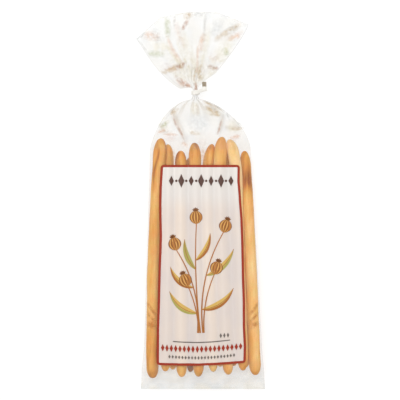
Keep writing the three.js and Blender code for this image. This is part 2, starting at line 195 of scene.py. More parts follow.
def linear(hex_colour, alpha=1.0):
    """An sRGB hex colour as linear RGBA."""
    parts = [int(hex_colour[k:k + 2], 16) / 255 for k in (1, 3, 5)]
    bent = [c / 12.92 if c <= 0.04045 else ((c + 0.055) / 1.055) ** 2.4 for c in parts]
    return (*bent, alpha)


# Making pieces and materials

def grid_faces(rows, across, closed):
    """Four-sided faces between rows of points; in closed rows the last joins the first."""
    row_points = across if closed else across + 1
    faces = []
    for row in range(rows):
        low, high = row * row_points, (row + 1) * row_points
        for k in range(across):
            following = (k + 1) % row_points
            faces.append((low + k, low + following, high + following, high + k))
    return faces


def add_part(points, faces, more_points, more_faces):
    """Adds one part's points and faces to those of the whole piece."""
    first = len(points)
    points += more_points
    faces += [tuple(first + corner for corner in face) for face in more_faces]


def make_piece(name, points, faces, attributes, material, slot):
    """A smooth-shaded mesh from points in millimetres, which rides with the bag."""
    mesh = bpy.data.meshes.new(name)
    mesh.from_pydata([(x * MM, y * MM, z * MM) for x, y, z in points], [], faces)
    mesh.polygons.foreach_set("use_smooth", [True] * len(mesh.polygons))
    for key, values in attributes.items():
        mesh.attributes.new(key, "FLOAT", "POINT").data.foreach_set("value", values)
    mesh.materials.append(material)
    mesh.update()
    piece = bpy.data.objects.new(name, mesh)
    bpy.context.collection.objects.link(piece)
    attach(piece, "root")
    return piece


def add_node(material, kind, inputs=None, **settings):
    """Adds a node, sets its properties, and sets or links its inputs.

    An input that is given a node is linked to that node's first output.
    """
    made = material.node_tree.nodes.new(kind)
    for key, value in settings.items():
        setattr(made, key, value)
    for key, value in (inputs or {}).items():
        if isinstance(value, bpy.types.Node):
            value = value.outputs[0]
        if isinstance(value, bpy.types.NodeSocket):
            material.node_tree.links.new(value, made.inputs[key])
        else:
            made.inputs[key].default_value = value
    return made


def new_material(name):
    """An empty material, and the node output that gives each point's place in metres."""
    material = bpy.data.materials.new(name)
    material.use_nodes = True
    material.node_tree.nodes.clear()
    return material, add_node(material, "ShaderNodeTexCoord").outputs["Object"]


def set_ramp(ramp, stops):
    """Gives a colour ramp its stops: position and linear colour of each."""
    elements = ramp.color_ramp.elements
    while len(elements) < len(stops):
        elements.new(0.5)
    for element, (position, colour) in zip(elements, stops):
        element.position = position
        element.color = colour


# Baked wheat dough, rolled long and thin: a dry golden crust that goes from pale
# straw to toasted brown along each stick, with fine pits and flour-pale ridges.
def baked_crust():
    material, place = new_material("baked_crust")
    # Toasting comes in patches about 9 mm wide and 40 mm long.
    along = add_node(material, "ShaderNodeMapping", {
        "Vector": place, "Scale": (1 / 0.009, 1 / 0.040, 1 / 0.009)})
    patches = add_node(material, "ShaderNodeTexNoise", {
        "Vector": along, "Scale": 1.0, "Detail": 3.0, "Roughness": 0.55})
    # Streaks where the dough was rolled, about 2 mm apart and 25 mm long.
    rolled = add_node(material, "ShaderNodeMapping", {
        "Vector": place, "Scale": (1 / 0.002, 1 / 0.025, 1 / 0.002)})
    streaks = add_node(material, "ShaderNodeTexNoise", {
        "Vector": rolled, "Scale": 1.0, "Detail": 2.0, "Roughness": 0.5})
    # Crumb and pits of about 0.7 mm.
    crumb = add_node(material, "ShaderNodeTexNoise", {
        "Vector": place, "Scale": 1 / 0.0007, "Detail": 2.0, "Roughness": 0.6})
    bake = add_node(material, "ShaderNodeAttribute", attribute_name="bake").outputs["Fac"]
    # Patches and streaks add to each stick's own bake, and what they add on average
    # is taken off again, so that the sticks keep their tone.
    patch_strength, streak_strength, taken_off = 0.9, 0.35, 0.62
    patch_share = add_node(material, "ShaderNodeMath", {
        0: patches, 1: patch_strength}, operation="MULTIPLY")
    with_patches = add_node(material, "ShaderNodeMath", {
        0: bake, 1: patch_share}, operation="ADD")
    streak_share = add_node(material, "ShaderNodeMath", {
        0: streaks, 1: streak_strength}, operation="MULTIPLY")
    with_streaks = add_node(material, "ShaderNodeMath", {
        0: with_patches, 1: streak_share}, operation="ADD")
    toast = add_node(material, "ShaderNodeMath", {
        0: with_streaks, 1: -taken_off}, operation="ADD")
    ramp = add_node(material, "ShaderNodeValToRGB", {"Fac": toast})
    set_ramp(ramp, [
        (0.0, linear("#FADFB0")), (0.25, linear("#F4CE92")), (0.5, linear("#E9B369")),
        (0.75, linear("#DA9647")), (1.0, linear("#98562A"))])
    # The gold turns more yellow or more orange in places about 8 mm across.
    turns = add_node(material, "ShaderNodeTexNoise", {
        "Vector": place, "Scale": 1 / 0.008, "Detail": 2.0, "Roughness": 0.5})
    turn_share = add_node(material, "ShaderNodeMapRange", {
        "Value": turns, "From Min": 0.35, "From Max": 0.65})
    to_orange, to_yellow = (1.03, 0.95, 0.93, 1), (0.98, 1.04, 0.96, 1)
    hue = add_node(material, "ShaderNodeMix", {
        "Factor": turn_share, "A": to_orange, "B": to_yellow}, data_type="RGBA")
    turned = add_node(material, "ShaderNodeVectorMath", {
        0: ramp, 1: hue.outputs["Result"]}, operation="MULTIPLY")
    speckle = add_node(material, "ShaderNodeMapRange", {
        "Value": crumb, "From Min": 0.3, "From Max": 0.7, "To Min": 0.93, "To Max": 1.06})
    colour = add_node(material, "ShaderNodeVectorMath", {
        0: turned, "Scale": speckle}, operation="SCALE")
    relief = add_node(material, "ShaderNodeMath", {
        0: crumb, 1: streaks}, operation="ADD")
    bump = add_node(material, "ShaderNodeBump", {
        "Height": relief, "Strength": 0.5, "Distance": 0.00025})
    shader = add_node(material, "ShaderNodeBsdfPrincipled", {
        "Base Color": colour, "Roughness": 0.62, "IOR": 1.45,
        "Normal": bump, "Specular IOR Level": 0.35})
    add_node(material, "ShaderNodeOutputMaterial", {"Surface": shader})
    return material


# Polypropylene film, 30 micrometres thick, cast and heat-sealed: clear with a
# little haze and glossy where it catches the light. It stops more light where it
# turns edge on or is sealed to itself. Along its creases and pleat hollows it is
# hazier and painted with a warm shade.
def clear_film():
    material, place = new_material("clear_film")
    haze = add_node(material, "ShaderNodeAttribute", attribute_name="haze").outputs["Fac"]
    crease = add_node(material, "ShaderNodeAttribute", attribute_name="crease").outputs["Fac"]
    facing = add_node(material, "ShaderNodeLayerWeight", {"Blend": 0.3}).outputs["Facing"]
    # Handling haze in soft patches of about 14 mm.
    patches = add_node(material, "ShaderNodeTexNoise", {
        "Vector": place, "Scale": 1 / 0.014, "Detail": 2.0, "Roughness": 0.5})
    patch_level = add_node(material, "ShaderNodeMapRange", {
        "Value": patches, "From Min": 0.35, "From Max": 0.65,
        "To Min": 0.75, "To Max": 1.25})
    veil = add_node(material, "ShaderNodeMath", {
        0: haze, 1: patch_level}, operation="MULTIPLY")
    edge_on = add_node(material, "ShaderNodeMapRange", {
        "Value": facing, "From Min": 0.45, "From Max": 1.0, "To Min": 0.0, "To Max": 0.3})
    # Along the creases the film is hazier and painted with shade.
    crease_shade_strength = 0.34
    folded = add_node(material, "ShaderNodeMath", {
        0: crease, 1: crease_shade_strength, 2: edge_on}, operation="MULTIPLY_ADD")
    alpha = add_node(material, "ShaderNodeMath", {
        0: veil, 1: folded}, operation="ADD", use_clamp=True)
    # Reflections of the room make it cooler or warmer in places about 12 mm across.
    room = add_node(material, "ShaderNodeTexNoise", {
        "Vector": place, "Scale": 1 / 0.012, "Detail": 2.0, "Roughness": 0.5})
    room_share = add_node(material, "ShaderNodeMapRange", {
        "Value": room, "From Min": 0.4, "From Max": 0.6})
    clear_tint = add_node(material, "ShaderNodeMix", {
        "Factor": room_share, "A": linear("#B7BBBA"), "B": linear("#C6BEA9")},
        data_type="RGBA")
    # Painted warm shade along the creases and pleat hollows.
    tint = add_node(material, "ShaderNodeMix", {
        "Factor": crease, "A": clear_tint.outputs["Result"], "B": linear("#AD9068")}, data_type="RGBA")
    # Fine waviness of about 5 mm, which breaks up the reflections.
    waviness = add_node(material, "ShaderNodeTexNoise", {
        "Vector": place, "Scale": 1 / 0.005, "Detail": 1.0, "Roughness": 0.4})
    bump = add_node(material, "ShaderNodeBump", {
        "Height": waviness, "Strength": 0.25, "Distance": 0.0004})
    shader = add_node(material, "ShaderNodeBsdfPrincipled", {
        "Base Color": tint.outputs["Result"], "Alpha": alpha,
        "Roughness": 0.16, "IOR": 1.49, "Normal": bump})
    add_node(material, "ShaderNodeOutputMaterial", {"Surface": shader})
    return material


# Gravure ink on the film: a thin even layer that lets a little of what is behind
# it through, with a faint grain. A soft print fades out towards its edges.
def printing_ink(name, hex_colour, cover, soft=False):
    material, place = new_material(name)
    # The grain of the print is finer than shows, so it is drawn 0.9 mm coarse.
    grain = add_node(material, "ShaderNodeTexNoise", {
        "Vector": place, "Scale": 1 / 0.0009, "Detail": 2.0, "Roughness": 0.6})
    level = add_node(material, "ShaderNodeMapRange", {
        "Value": grain, "From Min": 0.3, "From Max": 0.7, "To Min": 0.96, "To Max": 1.03})
    colour = add_node(material, "ShaderNodeVectorMath", {
        0: linear(hex_colour)[:3], "Scale": level}, operation="SCALE")
    shader = add_node(material, "ShaderNodeBsdfPrincipled", {
        "Base Color": colour, "Alpha": cover, "Roughness": 0.5, "IOR": 1.49,
        "Specular IOR Level": 0.2})
    if soft:
        # Folds break the print up into patches of about 4 mm.
        broken = add_node(material, "ShaderNodeTexNoise", {
            "Vector": place, "Scale": 1 / 0.004, "Detail": 2.0, "Roughness": 0.6})
        unbroken = add_node(material, "ShaderNodeMapRange", {
            "Value": broken, "From Min": 0.35, "From Max": 0.6,
            "To Min": 0.25 * cover, "To Max": 1.2 * cover})
        share = add_node(material, "ShaderNodeAttribute", attribute_name="cover").outputs["Fac"]
        alpha = add_node(material, "ShaderNodeMath", {
            0: share, 1: unbroken}, operation="MULTIPLY")
        material.node_tree.links.new(alpha.outputs[0], shader.inputs["Alpha"])
    add_node(material, "ShaderNodeOutputMaterial", {"Surface": shader})
    return material


# White ink of the printed field: warm where the film lies on a breadstick that
# shows through, and lighter there as painted light, greyer over the gaps between
# them as painted shade, and whitest at its head.
def field_ink():
    material, place = new_material("ink_white_field")
    contact = add_node(material, "ShaderNodeAttribute", attribute_name="contact").outputs["Fac"]
    # Thin and thick places in the ink, about 20 mm across.
    cloud = add_node(material, "ShaderNodeTexNoise", {
        "Vector": place, "Scale": 1 / 0.020, "Detail": 2.0, "Roughness": 0.5})
    cloud_share = add_node(material, "ShaderNodeMapRange", {
        "Value": cloud, "From Min": 0.3, "From Max": 0.7, "To Min": -0.15, "To Max": 0.2})
    tone_and_light = add_node(material, "ShaderNodeMath", {
        0: contact, 1: cloud_share}, operation="ADD", use_clamp=True)
    # Greyer over the gaps as painted shade; warmer and lighter over the sticks, their colour showing
    # through with painted light.
    tint = add_node(material, "ShaderNodeMix", {
        "Factor": tone_and_light, "A": linear("#DACFC9"), "B": linear("#EADACA")}, data_type="RGBA")
    head = add_node(material, "ShaderNodeAttribute", attribute_name="head").outputs["Fac"]
    tint_with_head = add_node(material, "ShaderNodeMix", {
        "Factor": head, "A": tint.outputs["Result"], "B": linear("#E3DFDA")}, data_type="RGBA")
    # The grain of the print, drawn 0.9 mm coarse here too.
    grain = add_node(material, "ShaderNodeTexNoise", {
        "Vector": place, "Scale": 1 / 0.0009, "Detail": 2.0, "Roughness": 0.6})
    bump = add_node(material, "ShaderNodeBump", {
        "Height": grain, "Strength": 0.1, "Distance": 0.0001})
    shader = add_node(material, "ShaderNodeBsdfPrincipled", {
        "Base Color": tint_with_head.outputs["Result"], "Alpha": 0.88,
        "Roughness": 0.38, "IOR": 1.49, "Normal": bump})
    add_node(material, "ShaderNodeOutputMaterial", {"Surface": shader})
    return material


# Coated paper ribbon round a wire: satin cream with fine ribs, and a dark end.
def tie_ribbon_finish():
    material, place = new_material("coated_paper_ribbon")
    dark = add_node(material, "ShaderNodeAttribute", attribute_name="dark_end").outputs["Fac"]
    # Ribs about 2 mm apart, coarser than the real ones, which are too fine to show.
    ribs = add_node(material, "ShaderNodeTexWave", {
        "Vector": place, "Scale": 1 / 0.006, "Distortion": 0.6, "Detail": 1.0}, bands_direction="Y")
    tint = add_node(material, "ShaderNodeMix", {
        "Factor": dark, "A": linear("#E5E2DB"), "B": linear("#8F816C")}, data_type="RGBA")
    bump = add_node(material, "ShaderNodeBump", {
        "Height": ribs.outputs["Fac"], "Strength": 0.3, "Distance": 0.0001})
    shader = add_node(material, "ShaderNodeBsdfPrincipled", {
        "Base Color": tint.outputs["Result"], "Roughness": 0.45, "IOR": 1.5,
        "Normal": bump})
    add_node(material, "ShaderNodeOutputMaterial", {"Surface": shader})
    return material


# White opal light table under the bag: it glows evenly, so that the bag hardly
# casts a shadow, with the faintest mottling.
def light_table():
    material, place = new_material("opal_light_table")
    # Mottling in places about 170 mm across, six to a metre.
    mottle = add_node(material, "ShaderNodeTexNoise", {"Vector": place, "Scale": 6.0, "Detail": 2.0})
    tint = add_node(material, "ShaderNodeMix", {
        "Factor": mottle, "A": linear("#A8A8A6"), "B": linear("#ACACAC")},
        data_type="RGBA")
    shader = add_node(material, "ShaderNodeBsdfPrincipled", {
        "Base Color": tint.outputs["Result"], "Roughness": 0.9, "Specular IOR Level": 0.1,
        "Emission Color": (1, 1, 1, 1), "Emission Strength": 0.62})
    add_node(material, "ShaderNodeOutputMaterial", {"Surface": shader})
    return material


# The bag's cross-section at every height

def dome_share(y):
    """How far up the dome a height is, from 0 at the shoulder to 1 at its top."""
    return clamp01((y - SHOULDER_Y) / (DOME_TOP_Y - SHOULDER_Y))


def dome_fall(y, power):
    """Share of its full size that the dome still has at a height."""
    return (1 - dome_share(y) ** power) ** (1 / power)


def foot_opening(y):
    """How far the bag has opened above its seal, from 0 to 1."""
    return rounding(clamp01((y - SEAL_TOP_Y) / FOOT_LENGTH), FOOT_OPENING_POWER)


def neck_radius(y):
    return NECK_RADIUS + NECK_SKIRT * (1 - smooth_step(DOME_TOP_Y, NECK_SKIRT_TOP_Y, y))


def half_width(y):
    side = SHOULDER_HALF_WIDTH + SIDE_TAPER * (SHOULDER_Y - min(y, SHOULDER_Y))
    flare = BOTTOM_FLARE * smooth_step(FLARE_START_Y, BOTTOM_Y + FOOT_LENGTH, y)
    return neck_radius(y) + (side + flare - neck_radius(y)) * dome_fall(y, DOME_OUTLINE_POWER)


def half_depth(y):
    along = clamp01((y - BOTTOM_Y) / (SHOULDER_Y - BOTTOM_Y))
    full = lerp(HALF_DEPTH_BOTTOM, HALF_DEPTH_SHOULDER, along)
    closing = neck_radius(y) + (full - neck_radius(y)) * dome_fall(y, DOME_DEPTH_POWER)
    return lerp(SEAL_HALF_DEPTH, closing, foot_opening(y))


def middle_height(y):
    body = max(half_depth(y), NECK[2] * smooth_step(SHOULDER_Y, DOME_TOP_Y, y))
    return lerp(SEAL_RISE, body, foot_opening(y))


def middle_x(y):
    """The bag leans a little, and its dome leans on towards the neck."""
    body = -SIDE_LEAN * min(max(y, LEAN_START_Y), SHOULDER_Y)
    return lerp(body, NECK[0], dome_share(y) ** DOME_LEAN_POWER)


def stick_middle(stick, y):
    """Where a stick's middle lies from side to side at a height."""
    (foot_x, foot_y), (head_x, head_y) = stick["foot"], stick["head"]
    t = (y - foot_y) / (head_y - foot_y)
    hooked = stick.get("hook", 0) * clamp01(1 - (head_y - y) / HOOK_LENGTH) ** 2
    return lerp(foot_x, head_x, t) + stick["bow"] * 4 * clamp01(t) * (1 - clamp01(t)) + hooked


NEARLY_NOTHING = 1e-30          # keeps a logarithm finite


def film_dip(x, y, sticks=FRONT_STICKS, deepest=FILM_DIP):
    """How far the film sinks below the tops of the sticks that press into it."""
    nearness = 0.0
    for index, stick in enumerate(sticks):
        middle = stick_middle(stick, y)
        outermost = (index == 0 and x < middle) or (index == len(sticks) - 1 and x > middle)
        across = 0 if outermost else x - middle
        past = max(0, y - stick["head"][1] + TIP_ROUNDING, stick["foot"][1] + TIP_ROUNDING - y)
        sink = across ** 2 / (2 * STICK_PRESS_RADIUS) + past ** 2 / (2 * TIP_FADE_RADIUS)
        nearness += math.exp(-sink / STICK_PRESS_BLEND)
    sink = max(0.0, -STICK_PRESS_BLEND * math.log(max(nearness, NEARLY_NOTHING)))
    limited = deepest * (1 - math.exp(-sink / deepest))
    bottom_fade = smooth_step(SEAL_TOP_Y, SEAL_TOP_Y + FOOT_LENGTH / 2, y)
    top_fade = 1 - smooth_step(*LOOSE_FILM_Y, y)
    return limited * bottom_fade * top_fade


def front_height(x, y):
    """Height of the front film, without the pleats of the dome."""
    depth = half_depth(y)
    past = abs(x - middle_x(y)) - (half_width(y) - depth)
    rise = math.sqrt(max(0.0, depth ** 2 - past ** 2)) if past > 0 else depth
    return middle_height(y) + rise - film_dip(x, y) * rise / depth


def section_point(width, depth, along):
    """A point of a section with round sides and flat front, from left (0) to right (1)."""
    flat = width - depth
    quarter = math.pi * depth / 2
    travelled = along * 2 * (quarter + flat)
    mirrored = min(travelled, 2 * (quarter + flat) - travelled)
    sign = -1 if travelled < quarter + flat else 1
    angle = min(mirrored / depth, math.pi / 2)
    run = max(0.0, mirrored - quarter)
    x = sign * (flat + depth * math.cos(angle) - run)
    return x, depth * math.sin(angle), sign * math.cos(angle), math.sin(angle)


# The film of the bag's body

FRONT_STEPS = 220               # points of a ring over the front
BACK_STEPS = 110
RING_POINTS = FRONT_STEPS + BACK_STEPS
BACK_DIP = 0.7                  # how far the back film sinks between the sticks
BACK_FLAT_BELOW_Y = 50          # here the back film doesn't bulge past its section
SEAL_FOLD_DEPTH = 0.35          # small folds gathered by the seal, deepest just above it
SEAL_FOLD_RISE = 3
SEAL_FOLD_REACH = 4
FILM_RIPPLE = 0.16              # gentle waves all over
# Painted shade in the hollows of the pleats grows towards the neck between these heights.
NECK_FOLDS_Y = (66, 84)
NECK_FOLD_SHADE = 0.45
FOOT_HAZE, FOOT_HAZE_Y = 0.065, (-146, -128)   # more haze towards the seal
SEAL_HAZE, HEM_HAZE = 0.04, 0.12
HEM_RISE = (0.3, 1.2)
DOME_HAZE_Y = (44, 60)
CONTACT_CLEARING = 0.55         # share of the haze that goes where film lies on a stick
DOME_CREASES_FROM_Y = 40

# Soft creases of the dome, seen from the front: points, width and depth.
DOME_CREASES = (
    (((-25, 77), (-21.8, 69.7), (-17, 60.1), (-11.9, 47.6)), 2.3, 0.8),
    (((18.5, 71), (16.5, 62), (13.3, 54.8)), 2.2, 0.7),
    (((-34, 63), (-31, 58), (-24, 56)), 1.8, 0.4),
    (((31.5, 62), (25, 60.5), (19, 62)), 1.8, 0.4),
    (((-3.5, 80), (-2.5, 75), (-2.8, 70)), 1.6, 0.4),
    (((4, 79), (9, 75), (14, 72.5)), 2, 0.4),
)


def distance_to_line(x, y, points):
    """Distance from a point to a line of several points, and how far along it is."""
    best, where = 1e9, 0.0
    for k in range(len(points) - 1):
        (ax, ay), (bx, by) = points[k], points[k + 1]
        length2 = (bx - ax) ** 2 + (by - ay) ** 2
        t = clamp01(((x - ax) * (bx - ax) + (y - ay) * (by - ay)) / length2)
        gap = math.hypot(x - lerp(ax, bx, t), y - lerp(ay, by, t))
        if gap < best:
            best, where = gap, (k + t) / (len(points) - 1)
    return best, where


def dome_crease(x, y):
    """Depth of the creases at a point of the dome's front, and how strongly painted shade shows along
    them.
    """
    depth, strength = 0.0, 0.0
    if y < DOME_CREASES_FROM_Y:
        return depth, strength
    for points, width, deepest in DOME_CREASES:
        gap, where = distance_to_line(x, y, points)
        # A crease sets in softly and runs out at its far end.
        fade = math.sin(math.pi * min(1.0, 0.12 + 0.88 * where)) ** 0.5
        near = math.exp(-(gap / width) ** 2) * fade
        depth = max(depth, deepest * near)
        strength = max(strength, near)
    return depth, strength


def ring_station(index):
    """Whether a point of a ring is on the front, and how far it is from left to right."""
    if index <= FRONT_STEPS:
        return True, index / FRONT_STEPS
    return False, 1 - (index - FRONT_STEPS) / BACK_STEPS


def body_haze(y):
    """Haze of the film at a height, before the sticks behind it clear it."""
    foot_haze = FOOT_HAZE * (1 - smooth_step(*FOOT_HAZE_Y, y))
    sealed = 1 - smooth_step(SEAL_TOP_Y - 1, SEAL_TOP_Y + 1, y)
    at_hem = 1 - smooth_step(BOTTOM_Y + HEM_RISE[0], BOTTOM_Y + HEM_RISE[1], y)
    between = lerp(BODY_HAZE + foot_haze, DOME_HAZE, smooth_step(*DOME_HAZE_Y, y))
    return between + SEAL_HAZE * sealed + HEM_HAZE * at_hem


def body_ring(y):
    """One ring of the film round the bag, with the painted shade of its creases and how hazy it is at
    each point.
    """
    width = half_width(y)
    depth = min(half_depth(y), width)
    start, full, end, gone = DOME_PLEATS_Y
    pleat_depth = DOME_PLEAT_DEPTH * smooth_step(start, full, y) * (1 - smooth_step(end, gone, y))
    above_seal = (y - SEAL_TOP_Y - SEAL_FOLD_RISE) / SEAL_FOLD_REACH
    seal_folds = SEAL_FOLD_DEPTH * math.exp(-above_seal ** 2)
    near_neck = smooth_step(*NECK_FOLDS_Y, y)
    haze = body_haze(y)
    ring, crease_shading, hazes = [], [], []
    for index in range(RING_POINTS):
        front, along = ring_station(index)
        px, pz, nx, nz = section_point(width, depth, along)
        x = middle_x(y) + px
        # Uneven pleats round the dome, with finer ones between them.
        turn = along / 2 if front else 1 - along / 2
        phase = 2 * math.pi * DOME_PLEATS * turn + 1.4 * math.sin(6 * turn)
        fine = math.cos(2.3 * phase + 1.1)
        pleat = pleat_depth * (0.8 * math.cos(phase) + 0.35 * fine)
        # Waves about 11 mm wide and 26 mm long, and narrow folds by the seal.
        ripple = FILM_RIPPLE * noise.noise((x / 11, y / 26, 3.1 if front else 8.7))
        ripple += seal_folds * noise.noise((x / 2.6, y / 20, 5.5))
        crease_depth, strength = dome_crease(x, y) if front else (0.0, 0.0)
        push = pleat + ripple * min(1.0, depth / 3) - crease_depth * nz
        contact = 0.0
        if front:
            dip = film_dip(x, y) * nz
            if FRONT_STICKS[0]["foot"][1] < y < SHOULDER_Y:
                contact = math.exp(-(dip / CONTACT_DIP) ** 2)
        else:
            dip = film_dip(x, y, REAR_STICKS, BACK_DIP) * nz
            push = min(push, 0.0) if y < BACK_FLAT_BELOW_Y else push
        rise = (pz + nz * push - dip) * (1 if front else -1)
        ring.append((x + nx * push, y, middle_height(y) + rise))
        # Painted shade in the hollows of the pleats near the neck, and along the dome's creases.
        neck_fold_shade = NECK_FOLD_SHADE * near_neck * clamp01(0.2 - math.cos(phase)) ** 2
        crease_shading.append(min(1.0, 0.8 * strength + neck_fold_shade))
        # Film that lies flat on a stick shows hardly any haze.
        hazes.append(haze * (1 - CONTACT_CLEARING * contact))
    return ring, crease_shading, hazes


# The flared top, which opens like a fan from the neck

def mouth_distance(angle):
    """How far the cut edge is from the neck in a direction."""
    dx, dy = math.sin(angle), math.cos(angle)
    for k in range(1, len(MOUTH_CORNERS)):
        (ax, ay), (bx, by) = MOUTH_CORNERS[k - 1], MOUTH_CORNERS[k]
        if k == len(MOUTH_CORNERS) - 1 or math.atan2(bx, by) >= angle:
            return (ax * by - ay * bx) / (dx * (by - ay) - dy * (bx - ax))


def side_angle(side, share):
    """Direction of one side of the flared top at a share of the way to its mouth."""
    bowed = math.atan2(*side["corner"]) + math.radians(side["bow"]) * (1 - share) ** side["fading"]
    return bowed * lerp(side["at_neck"], 1, smooth_step(*side["opens"], FAN_REACH * share))


def fan_angle(share, along):
    return lerp(side_angle(LEFT_SIDE, share), side_angle(RIGHT_SIDE, share), along)


def fan_pleat(along, share, front):
    """Uneven pleats, with finer ones between them near the neck. Returns -1 to 1."""
    warp = 0.018 * math.sin(2 * math.pi * 2.3 * along + 0.6)
    if not front:
        warp += 0.02 * math.sin(2 * math.pi * 1.6 * along + 2.0)
    swell = 0.8 + 0.2 * math.cos(2 * math.pi * 1.7 * along)
    wave = math.cos(2 * math.pi * FAN_PLEATS * (along + warp))
    sharp = signed_power(wave, 0.8)
    fine = math.cos(2 * math.pi * 2.4 * FAN_PLEATS * (along + 0.5 * warp) + 1.0)
    return 0.88 * swell * sharp + 0.22 * fine * (1 - smooth_step(0.2, 0.8, share))


def fan_point(along, share, front, lift=0.0):
    """A point of the flared film, and the painted shade of its creases there."""
    reach = FAN_REACH * share
    opened = smooth_step(*FAN_OPENS_FROM_NECK, reach)
    flattened = lerp(1, MOUTH_PLEAT_SHARE, smooth_step(0.5, 1, share))
    pleat_depth = FAN_PLEAT_DEPTH * smooth_step(*FAN_PLEATS_FROM_NECK, reach) * flattened
    gap = lerp(FAN_LAYER_GAP, MOUTH_THICKNESS, smooth_step(0.4, 1, share))
    side = 1 if front else -1
    angle = fan_angle(share, along)
    distance = max(share * mouth_distance(angle), NECK_TOP_Y - NECK[1])
    across = 2 * along - 1
    layer = side * gap / 2 * math.sqrt(max(0.0, 1 - across ** 8))
    pleat = fan_pleat(along, share, front)
    # The two layers meet at the folded sides, which have no pleats.
    at_fold = abs(across) ** 8 >= 1
    height = NECK[2] - FAN_DROOP * share + pleat_depth * (0 if at_fold else pleat) + layer
    rx, rz = section_point(NECK_RADIUS, NECK_RADIUS, along)[:2]
    x = lerp(NECK[0] + rx, NECK[0] + distance * math.sin(angle), opened)
    y = lerp(NECK[1] + reach, NECK[1] + distance * math.cos(angle), opened)
    z = lerp(NECK[2] + side * rz, height, opened) + lift
    # The bottoms of the pleats are painted with shade, as creases, most of all near the neck.
    fade = (1 - smooth_step(0.2, 1.0, share)) ** 1.3
    crease_shading = (0.15 + 0.42 * fade) * clamp01(-pleat) ** 8 + 0.06 * fade ** 2
    return (x, y, z), min(1.0, crease_shading)


EDGE_HAZE = 0.14                # along the cut edge and the two folded sides


def fan_ring(share):
    """One ring of the flared film, hazier along its edges."""
    at_mouth = smooth_step(0.983, 0.993, share)
    ring, crease_shading, haze = [], [], []
    for index in range(RING_POINTS):
        front, along = ring_station(index)
        point, crease = fan_point(along, share, front)
        at_side = smooth_step(0.985, 1.0, abs(2 * along - 1))
        ring.append(point)
        crease_shading.append(crease)
        haze.append(FAN_HAZE + EDGE_HAZE * max(at_mouth, at_side))
    return ring, crease_shading, haze


def sheet_of_rings(rings):
    """Points, faces and surface values of a tube of film, open at both ends."""
    points, crease_shading, hazes = [], [], []
    for ring, crease, haze in rings:
        points += ring
        crease_shading += crease
        hazes += haze
    return points, grid_faces(len(rings) - 1, RING_POINTS, True), {"crease": crease_shading, "haze": hazes}


def make_film(film):
    heights = [
        BOTTOM_Y,
        *steps_to(BOTTOM_Y, SEAL_TOP_Y, 4),
        *steps_to(SEAL_TOP_Y, SEAL_TOP_Y + FOOT_LENGTH, 26),
        *steps_to(SEAL_TOP_Y + FOOT_LENGTH, PANEL_TOP_Y, 56),
        *steps_to(PANEL_TOP_Y, 56, 20),
        *steps_to(56, 76, 30),
        *steps_to(76, DOME_TOP_Y, 20),
        *steps_to(DOME_TOP_Y, NECK_SKIRT_TOP_Y, 8),
        *steps_to(NECK_SKIRT_TOP_Y, NECK_TOP_Y, 4),
    ]
    body = make_piece("film_body", *sheet_of_rings([body_ring(y) for y in heights]), film, "bag")
    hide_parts("bag")
    # The rings of the flared top crowd towards the neck.
    first_share, steps = (NECK_TOP_Y - NECK[1]) / FAN_REACH, 110
    shares = [first_share + (1 - first_share) * (k / steps) ** 1.25 for k in range(steps + 1)]
    fan = make_piece("film_top", *sheet_of_rings([fan_ring(share) for share in shares]), film, "bag")
    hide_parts("bag")


# The breadsticks

FOOT_ROUNDING = (8.5, 12)       # a stick's ends round off over lengths in these ranges
HEAD_ROUNDING = (11, 14)
END_POWER = 2.1                 # how full the round ends are
RING_CROWDING = 0.75            # how strongly rings crowd towards the two tips
TIP_BAKE = 0.12                 # both ends are baked darker over the next length
TIP_BAKE_LENGTH = 16
BAKE_UNEVENNESS = 0.3
LUMP_ALLOWANCE = 1.04           # lumps make a stick this much thicker in places


def clamp_body(y):
    """Keeps a height within the full-depth part of the bag."""
    return min(max(y, SEAL_TOP_Y + FOOT_LENGTH), SHOULDER_Y)


def nest_height(x, y, radius):
    """Highest middle of a stick of this radius that still clears the front film."""
    y = clamp_body(y)
    depth = half_depth(y)
    room = depth - radius - STICK_GAP
    past = abs(x - middle_x(y)) - (half_width(y) - depth)
    if past <= 0:
        return middle_height(y) + room
    return middle_height(y) + math.sqrt(max(0.0, room ** 2 - past ** 2))


def read_thirds(values, share):
    """Reads three values that stand for a lower end, a middle and an upper end."""
    low, middle, high = values
    return lerp(low, middle, 2 * share) if share < 0.5 else lerp(middle, high, 2 * share - 1)


def foot_droop(stick, foot_end):
    """How far a front stick's lower end must sink to clear the film that closes over it."""
    foot_y, full = stick["foot"][1], max(stick["radii"])
    droop = 0.0
    for k in range(1, 60):
        y = foot_y + 0.5 * k
        x = stick_middle(stick, y)
        top = nest_height(x, y, full) - stick["sink"][0]
        top += stick["radii"][0] * LUMP_ALLOWANCE * rounding(clamp01((y - foot_y) / foot_end), END_POWER)
        need = top + STICK_GAP - front_height(x, y)
        droop = max(droop, need / (1 - smooth_step(0, FOOT_DROOP_LENGTH, y - foot_y)))
    return droop


